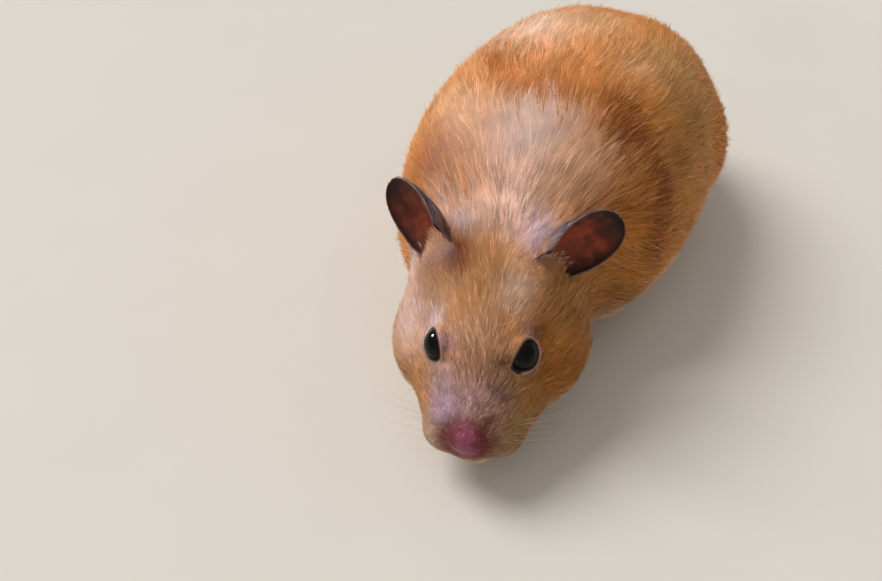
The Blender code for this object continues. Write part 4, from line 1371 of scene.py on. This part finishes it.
    def widen(self, count):
        """Half the width of each hair as a way to its side, and the way it faces."""
        rng = self.rng
        self.ways = unit(np.gradient(self.rows, axis=1))
        side = unit(np.cross(self.ways, self.row_normals))
        facing = np.cross(side, self.ways)
        roll = rng.normal(0, 0.4, count)[:, None, None]
        side, facing = (
            side * np.cos(roll) + facing * np.sin(roll),
            facing * np.cos(roll) - side * np.sin(roll),
        )
        width = self.sizes.hair_width / MM * np.clip(0.5 + 0.08 * self.root_length, 0.5, 1.1)
        width = width * rng.uniform(0.75, 1.25, count) * np.where(self.stray, 0.55, 1.0)
        self.side = side * (width[:, None] * HAIR_WIDTHS / 2)[:, :, None]
        self.shade = unit(self.row_normals * 0.82 + facing * 0.18)

    def paint(self, count, on_ear):
        """The tone of each hair, darker as painted shade where it lies low or at the edge of its
        tuft, and its colour from the markings near its tip.
        """
        rng = self.rng
        # Painted shade: hairs that lie lower, and hairs toward the edge of their tuft, are darker, as
        # the coat casts no shadow of its own.
        edge = np.clip(np.linalg.norm(self.offset, axis=1) / 0.6, 0, 1) ** 2
        tone = 0.55 * self.guide_tone[self.own] + 0.25 * self.rise + 0.3 * rng.random(count)
        tone = (tone - 0.2 * edge - 0.5) * (1 - 0.9 * self.calm) * (1 + 1.5 * self.crisp)
        self.tone = np.where(self.bright, 1.0, 0.85 * np.clip(0.5 + tone, 0, 1))
        shift = self.guide_shift[self.own] + rng.normal(0, 0.5, count)
        shift = shift * (self.root_length / 6.5) ** 2
        seen = 0.55 * self.rows[:, 1] + 0.45 * self.rows[:, 2] + self.ways[:, 1] * shift[:, None]
        colour = coat_colours(seen, self.row_normals[:, 2])
        self.colour = ear_hair_colours(self.rows[:, 1], colour, on_ear)

    def along_guide(self, own, at):
        """Points and normals at a share of the length of each hair's own guide."""
        line, normal = self.guide_lines[own], self.guide_normals[own]
        at = np.clip(at, 0, 1.25)
        cell = np.clip(np.searchsorted(GUIDE_STEPS, at, "right") - 1, 0, 2)
        share = ((at - GUIDE_STEPS[cell]) / (GUIDE_STEPS[cell + 1] - GUIDE_STEPS[cell]))[:, None]
        i = np.arange(len(own))
        spot = line[i, cell] * (1 - share) + line[i, cell + 1] * share
        return spot, unit(normal[i, cell] * (1 - share) + normal[i, cell + 1] * share)

    def pieces(self):
        """Splits the hairs into rings from the nose to the tail, with their flat places."""
        root = self.rows[:, 0]
        forward = (root - HEAD_AT) @ HEAD_AXES[:, 0]
        station = spine_rows(root)[0]
        head = (forward > -4) & (root[:, 2] > 6) & (station < 1.2)
        order = np.where(head, -forward, 20 + 15 * station)
        ring = ranked(order) * len(COAT_PIECES) // len(root)
        return [self.piece(name, np.nonzero(ring == k)[0], order)
                for k, name in enumerate(COAT_PIECES)]

    def piece(self, name, here, order):
        root = self.rows[here, 0]
        middle = root.mean(0)
        turn = np.arctan2(root[:, 0] - middle[0], root[:, 2] - middle[2]) / (2 * np.pi) + 0.5
        flat = np.column_stack([turn, ranked(order[here]) / len(here)])
        flat = flat * (1 - 4 * PATCH) + 2 * PATCH
        return hair_mesh(name, self.rows[here], self.side[here], self.shade[here],
                         self.along[here], self.colour[here], self.tone[here], flat)


class HamsterSizes(bpy.types.PropertyGroup):
    """Sizes that a user may change."""

    coat_length: FloatProperty(
        name="Coat length", description="Length of the coat against its usual length",
        default=1.0, min=0.3, max=2.0)
    hair_width: FloatProperty(
        name="Hair width", description="Width of one lock of fine hair",
        default=0.00015, unit="LENGTH")
    hairs: IntProperty(
        name="Hairs", description="Number of fine locks over the whole coat", default=440000)
    tufts: IntProperty(
        name="Tufts", description="Number of tufts that the locks gather in", default=70000)
    whisker_length: FloatProperty(
        name="Whisker length", description="Length of the longest whisker",
        default=0.017, unit="LENGTH")


class HamsterStage(bpy.types.PropertyGroup):
    """Floor and light."""

    floor_colour: FloatVectorProperty(
        name="Floor", description="Colour of the floor", subtype="COLOR",
        default=(0.82, 0.79, 0.74))
    key_strength: FloatProperty(
        name="Key light", description="Strength of the wide soft light from the upper left",
        default=1.9)
    glint_power: FloatProperty(
        name="Glint", description="Power of the small lamp that sparkles in the eyes",
        default=5.6, unit="POWER")
    sky_strength: FloatProperty(
        name="Sky", description="Strength of the even light from all round", default=0.38)


class HAMSTER_OT_skin(bpy.types.Operator):
    """Make the skin and store the coat's flow and markings on it"""

    bl_idname = "hamster.skin"
    bl_label = "Skin"

    def execute(self, context):
        made = skin_object()
        dress_skin(made)
        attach(made, "root")
        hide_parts(*FLESH, *EARS)
        return {"FINISHED"}


class HAMSTER_OT_coat(bpy.types.Operator):
    """Grow the coat over the skin"""

    bl_idname = "hamster.coat"
    bl_label = "Coat"

    def execute(self, context):
        sizes = context.scene.hamster_sizes
        share = 1.0
        coat = Coat(bpy.data.objects["skin"], sizes)
        coat.guides(int(sizes.tufts * share))
        coat.hairs(int(sizes.hairs * share))
        face, body = coat_material("coat_face", 0.42), coat_material("coat_body", 0.36)
        for made in coat.pieces():
            on_head = made.name in COAT_PIECES[:HEAD_PIECES]
            made.data.materials.append(face if on_head else body)
            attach(made, "root")
            made.visible_shadow = False
        return {"FINISHED"}


class HAMSTER_OT_eyes(bpy.types.Operator):
    """Set a glossy dark ball in each socket"""

    bl_idname = "hamster.eyes"
    bl_label = "Eyes"

    def execute(self, context):
        finish = eye_material()
        for side in SIDES:
            made = eye_ball(side)
            made.data.materials.append(finish)
            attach(made, "root")
            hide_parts(f"eye_{side}")
        return {"FINISHED"}


def ball():
    """Ways from the middle of a ball to its corners, and its faces, always in the same order."""
    turns = np.linspace(0, 2 * np.pi, BALL_AROUND, endpoint=False)
    ways = [(0.0, 0.0, 1.0)]
    for angle in np.linspace(0, np.pi, BALL_RINGS + 1)[1:-1]:
        flat = math.sin(angle)
        ways += [(flat * math.cos(t), flat * math.sin(t), math.cos(angle)) for t in turns]
    ways.append((0.0, 0.0, -1.0))
    last = len(ways) - 1
    low_ring = last - BALL_AROUND
    faces = []
    for near in range(BALL_AROUND):
        far = (near + 1) % BALL_AROUND
        faces.append((0, 1 + near, 1 + far))
        for ring in range(1, low_ring, BALL_AROUND):
            below = ring + BALL_AROUND
            faces.append((ring + near, below + near, below + far, ring + far))
        faces.append((low_ring + near, last, low_ring + far))
    return np.array(ways), faces


def eye_ball(side):
    """A ball with a slight bulge in front, and its iris as an attribute."""
    centre, axis, along, across = eye_frame(side)
    ways, faces = ball()
    ways = ways @ np.stack([along, across, axis])
    front = ways @ axis
    reach = EYE_RADIUS + CORNEA_BULGE * smooth_step(0.5, 1.0, front)
    data = bpy.data.meshes.new(f"eyeball_{side}")
    data.from_pydata(((centre + ways * reach[:, None]) * MM).tolist(), [], faces)
    data.shade_smooth()
    store(data, "iris", "FLOAT", smooth_step(0.62, 0.97, front))
    return new_object(f"eyeball_{side}", data)


def eye_material():
    """Wet black, with a faint brown ring round the pupil."""
    made, tree, shader = new_material("eye_gloss", Specular_IOR_Level=0.15)
    ramp = node(tree, "ShaderNodeValToRGB", {"Fac": stored(tree, "iris")})
    ramp.color_ramp.elements[0].color = (0.012, 0.008, 0.008, 1)
    ramp.color_ramp.elements[1].color = (0.002, 0.002, 0.003, 1)
    ramp.color_ramp.elements.new(0.35).color = (0.010, 0.006, 0.005, 1)
    fleck = grain(tree, 1500.0).outputs["Fac"]
    colour = scaled_colour(tree, ramp.outputs["Color"], ranged(tree, fleck, 0.7, 1.3))
    surfaced(tree, shader, colour, ranged(tree, fleck, 0.05, 0.09))
    return made


class HAMSTER_OT_whiskers(bpy.types.Operator):
    """Set the whiskers in rows on the muzzle, and a few over the eyes"""

    bl_idname = "hamster.whiskers"
    bl_label = "Whiskers"

    def execute(self, context):
        longest = context.scene.hamster_sizes.whisker_length / MM
        made = whiskers_object(bpy.data.objects["skin"], longest)
        made.data.materials.append(whisker_material())
        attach(made, "root")
        return {"FINISHED"}


def whisker_line(root, way, length, droop):
    """Points along one whisker, bent back and down toward its tip."""
    t = np.linspace(0, 1, WHISKER_STEPS)[:, None]
    back = head_way(-0.9, 0, -0.3)
    return root + way * length * t + (back * 0.4 + np.array((0, 0, -droop))) * length * t**2


def whisker_starts(side):
    """Where whiskers start in the head frame, with their share of the longest one's length."""
    starts = [(32.5 - 1.5 * k, side * (4.6 + 0.7 * k), -2.6 - 1.35 * row, 0.5 + 0.17 * k)
              for row in range(4) for k in range(4)]
    return starts + [(17.0, side * 3.4, 12.0, 0.45), (14.5, side * 4.6, 12.6, 0.5)]


def add_tube(points, faces, line):
    """Adds a closed tapered tube along a line to lists of points and faces."""
    around = np.linspace(0, 2 * np.pi, WHISKER_SIDES, endpoint=False)
    first = len(points)
    ways = unit(np.gradient(line, axis=0))
    across = unit(np.cross(ways, (0.1, 0.2, 1.0)))
    rise = np.cross(across, ways)
    thick = WHISKER_RADIUS * (1 - 0.85 * np.linspace(0, 1, WHISKER_STEPS))
    for k in range(WHISKER_STEPS):
        ring = np.outer(np.cos(around), across[k]) + np.outer(np.sin(around), rise[k])
        points += (line[k] + ring * thick[k]).tolist()
    last = len(points) - WHISKER_SIDES
    for start in range(first, last, WHISKER_SIDES):
        for j in range(WHISKER_SIDES):
            a, b = start + j, start + (j + 1) % WHISKER_SIDES
            faces.append((a, b, b + WHISKER_SIDES, a + WHISKER_SIDES))
    faces.append(tuple(range(first + WHISKER_SIDES - 1, first - 1, -1)))
    faces.append(tuple(range(last, last + WHISKER_SIDES)))


def whiskers_object(skin, longest):
    """Thin round tapered hairs rooted in the skin of the lips and the brows."""
    rng = np.random.default_rng(WHISKER_SEED)
    finder = BVHTree.FromPolygons(
        (read_points(skin.data) / MM).tolist(), triangles(skin.data).tolist())
    points, faces = [], []
    for side in SIDES.values():
        for forward, out, up, share in whisker_starts(side):
            place = finder.find_nearest(Vector(head_point(forward, out, up)))
            root = np.array(place[0]) - 0.4 * np.array(place[1])
            lift = 0.8 if up > 5 else 0.05 + 0.10 * (up + 4)
            way = head_way(0.3 - 0.4 * share, side * 1.0, lift)
            way = unit(way + rng.normal(0, 0.07, 3))
            length = longest * share * rng.uniform(0.85, 1.1)
            line = whisker_line(root, way, length, 0.10)
            line[:, 2] = np.maximum(line[:, 2], WHISKER_FLOOR)
            add_tube(points, faces, line)
    data = bpy.data.meshes.new("whiskers")
    data.from_pydata((np.array(points) * MM).tolist(), [], faces)
    data.shade_smooth()
    return new_object("whiskers", data)


def whisker_material():
    """Pale hair with cloudy darker stretches."""
    made, tree, shader = new_material("whisker_hair", Specular_IOR_Level=0.5)
    cloud = grain(tree, 700.0).outputs["Fac"]
    colour = mixed(tree, "MIX", cloud, (0.78, 0.70, 0.60, 1), (0.42, 0.32, 0.24, 1))
    surfaced(tree, shader, colour, ranged(tree, cloud, 0.3, 0.45))
    return made


class HAMSTER_OT_claws(bpy.types.Operator):
    """Round off the claws and give them their horn"""

    bl_idname = "hamster.claws"
    bl_label = "Claws"

    def execute(self, context):
        finish = claw_material()
        for name in CLAWS:
            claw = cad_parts[name]
            weld = claw.modifiers.new("weld", "WELD")
            weld.merge_threshold = 0.01 * MM
            smooth = claw.modifiers.new("round", "SUBSURF")
            smooth.levels = smooth.render_levels = 2
            claw.data.materials.clear()
            claw.data.materials.append(finish)
            claw.data.shade_smooth()
        return {"FINISHED"}


def claw_material():
    """Pale horn, mottled toward flesh pink, with a fine grain."""
    made, tree, shader = new_material(
        "claw_horn", Specular_IOR_Level=0.5,
        Subsurface_Weight=0.2, Subsurface_Radius=(0.0008, 0.0005, 0.0003))
    streak = grain(tree, 2200.0, 4.0).outputs["Fac"]
    colour = mixed(tree, "MIX", streak, (0.62, 0.40, 0.32, 1), (0.78, 0.62, 0.52, 1))
    surfaced(tree, shader, colour, ranged(tree, streak, 0.22, 0.4))
    bumped(tree, shader, streak, 0.2, 0.00005)
    return made


class HAMSTER_OT_stage(bpy.types.Operator):
    """Set the floor, the lights and the camera"""

    bl_idname = "hamster.stage"
    bl_label = "Stage"

    def execute(self, context):
        stage = context.scene.hamster_stage
        floor_object(stage)
        lights(stage)
        camera()
        return {"FINISHED"}


def floor_object(stage):
    """A wide plain floor with a faint cloudiness."""
    work = bmesh.new()
    bmesh.ops.create_grid(work, x_segments=8, y_segments=8, size=9.0)
    data = bpy.data.meshes.new("floor")
    work.to_mesh(data)
    work.free()
    made = new_object("floor", data)
    finish, tree, shader = new_material("floor_paper", Specular_IOR_Level=0.3, Roughness=0.85)
    cloud = grain(tree, 30.0).outputs["Fac"]
    base = node(tree, "ShaderNodeRGB")
    base.outputs[0].default_value = (*stage.floor_colour, 1)
    tree.links.new(scaled_colour(tree, base.outputs[0], ranged(tree, cloud, 0.97, 1.03)),
                   shader.inputs["Base Color"])
    data.materials.append(finish)


def light(name, kind, place, **settings):
    """A light that looks at the origin."""
    data = bpy.data.lights.new(name, kind)
    for key, value in settings.items():
        setattr(data, key, value)
    made = new_object(name, data)
    made.location = place
    made.rotation_euler = (-Vector(place)).to_track_quat("-Z", "Y").to_euler()
    return made


def lights(stage):
    """A wide soft key from the upper left, a small glint for the eyes, and an even sky."""
    key = light("key", "SUN", KEY_AT, energy=stage.key_strength,
                angle=math.radians(34), color=(1.0, 0.97, 0.93))
    key.visible_glossy = False
    glint = light("glint", "AREA", GLINT_AT, energy=stage.glint_power,
                  shape="DISK", size=0.14, color=(1.0, 0.99, 0.97))
    glint.visible_diffuse = False
    world = bpy.data.worlds.new("sky")
    bpy.context.scene.world = world
    world.use_nodes = True
    back = world.node_tree.nodes["Background"]
    back.inputs["Color"].default_value = (*SKY_COLOUR, 1)
    back.inputs["Strength"].default_value = stage.sky_strength
    bpy.context.scene.view_settings.view_transform = "Standard"


def camera():
    data = bpy.data.cameras.new("camera")
    data.sensor_width = SENSOR
    data.lens = SENSOR * CAMERA_FOCUS / IMAGE_WIDTH
    data.clip_start = 0.01
    made = new_object("camera", data)
    made.location = Vector(CAMERA_AT) * MM
    made.rotation_euler = (math.radians(90 - CAMERA_PITCH), 0, 0)
    bpy.context.scene.camera = made


class HAMSTER_PT_panel(bpy.types.Panel):
    """Sizes, light and the steps that make the hamster"""

    bl_idname = "HAMSTER_PT_panel"
    bl_label = "Hamster"
    bl_space_type = "VIEW_3D"
    bl_region_type = "UI"
    bl_category = "Hamster"

    def draw(self, context):
        for group in (context.scene.hamster_sizes, context.scene.hamster_stage):
            for key in group.bl_rna.properties.keys():
                if key not in ("rna_type", "name"):
                    self.layout.prop(group, key)
        for step in STEPS:
            self.layout.operator(step.bl_idname)


STEPS = (
    HAMSTER_OT_skin,
    HAMSTER_OT_coat,
    HAMSTER_OT_eyes,
    HAMSTER_OT_whiskers,
    HAMSTER_OT_claws,
    HAMSTER_OT_stage,
)
CLASSES = (HamsterSizes, HamsterStage, *STEPS, HAMSTER_PT_panel)


def register():
    for item in CLASSES:
        bpy.utils.register_class(item)
    bpy.types.Scene.hamster_sizes = PointerProperty(type=HamsterSizes)
    bpy.types.Scene.hamster_stage = PointerProperty(type=HamsterStage)


def unregister():
    del bpy.types.Scene.hamster_stage
    del bpy.types.Scene.hamster_sizes
    for item in reversed(CLASSES):
        bpy.utils.unregister_class(item)


def main():
    register()
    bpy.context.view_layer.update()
    bpy.ops.hamster.skin()
    bpy.ops.hamster.coat()
    bpy.ops.hamster.eyes()
    bpy.ops.hamster.whiskers()
    bpy.ops.hamster.claws()
    bpy.ops.hamster.stage()


if __name__ == "__main__":
    main()
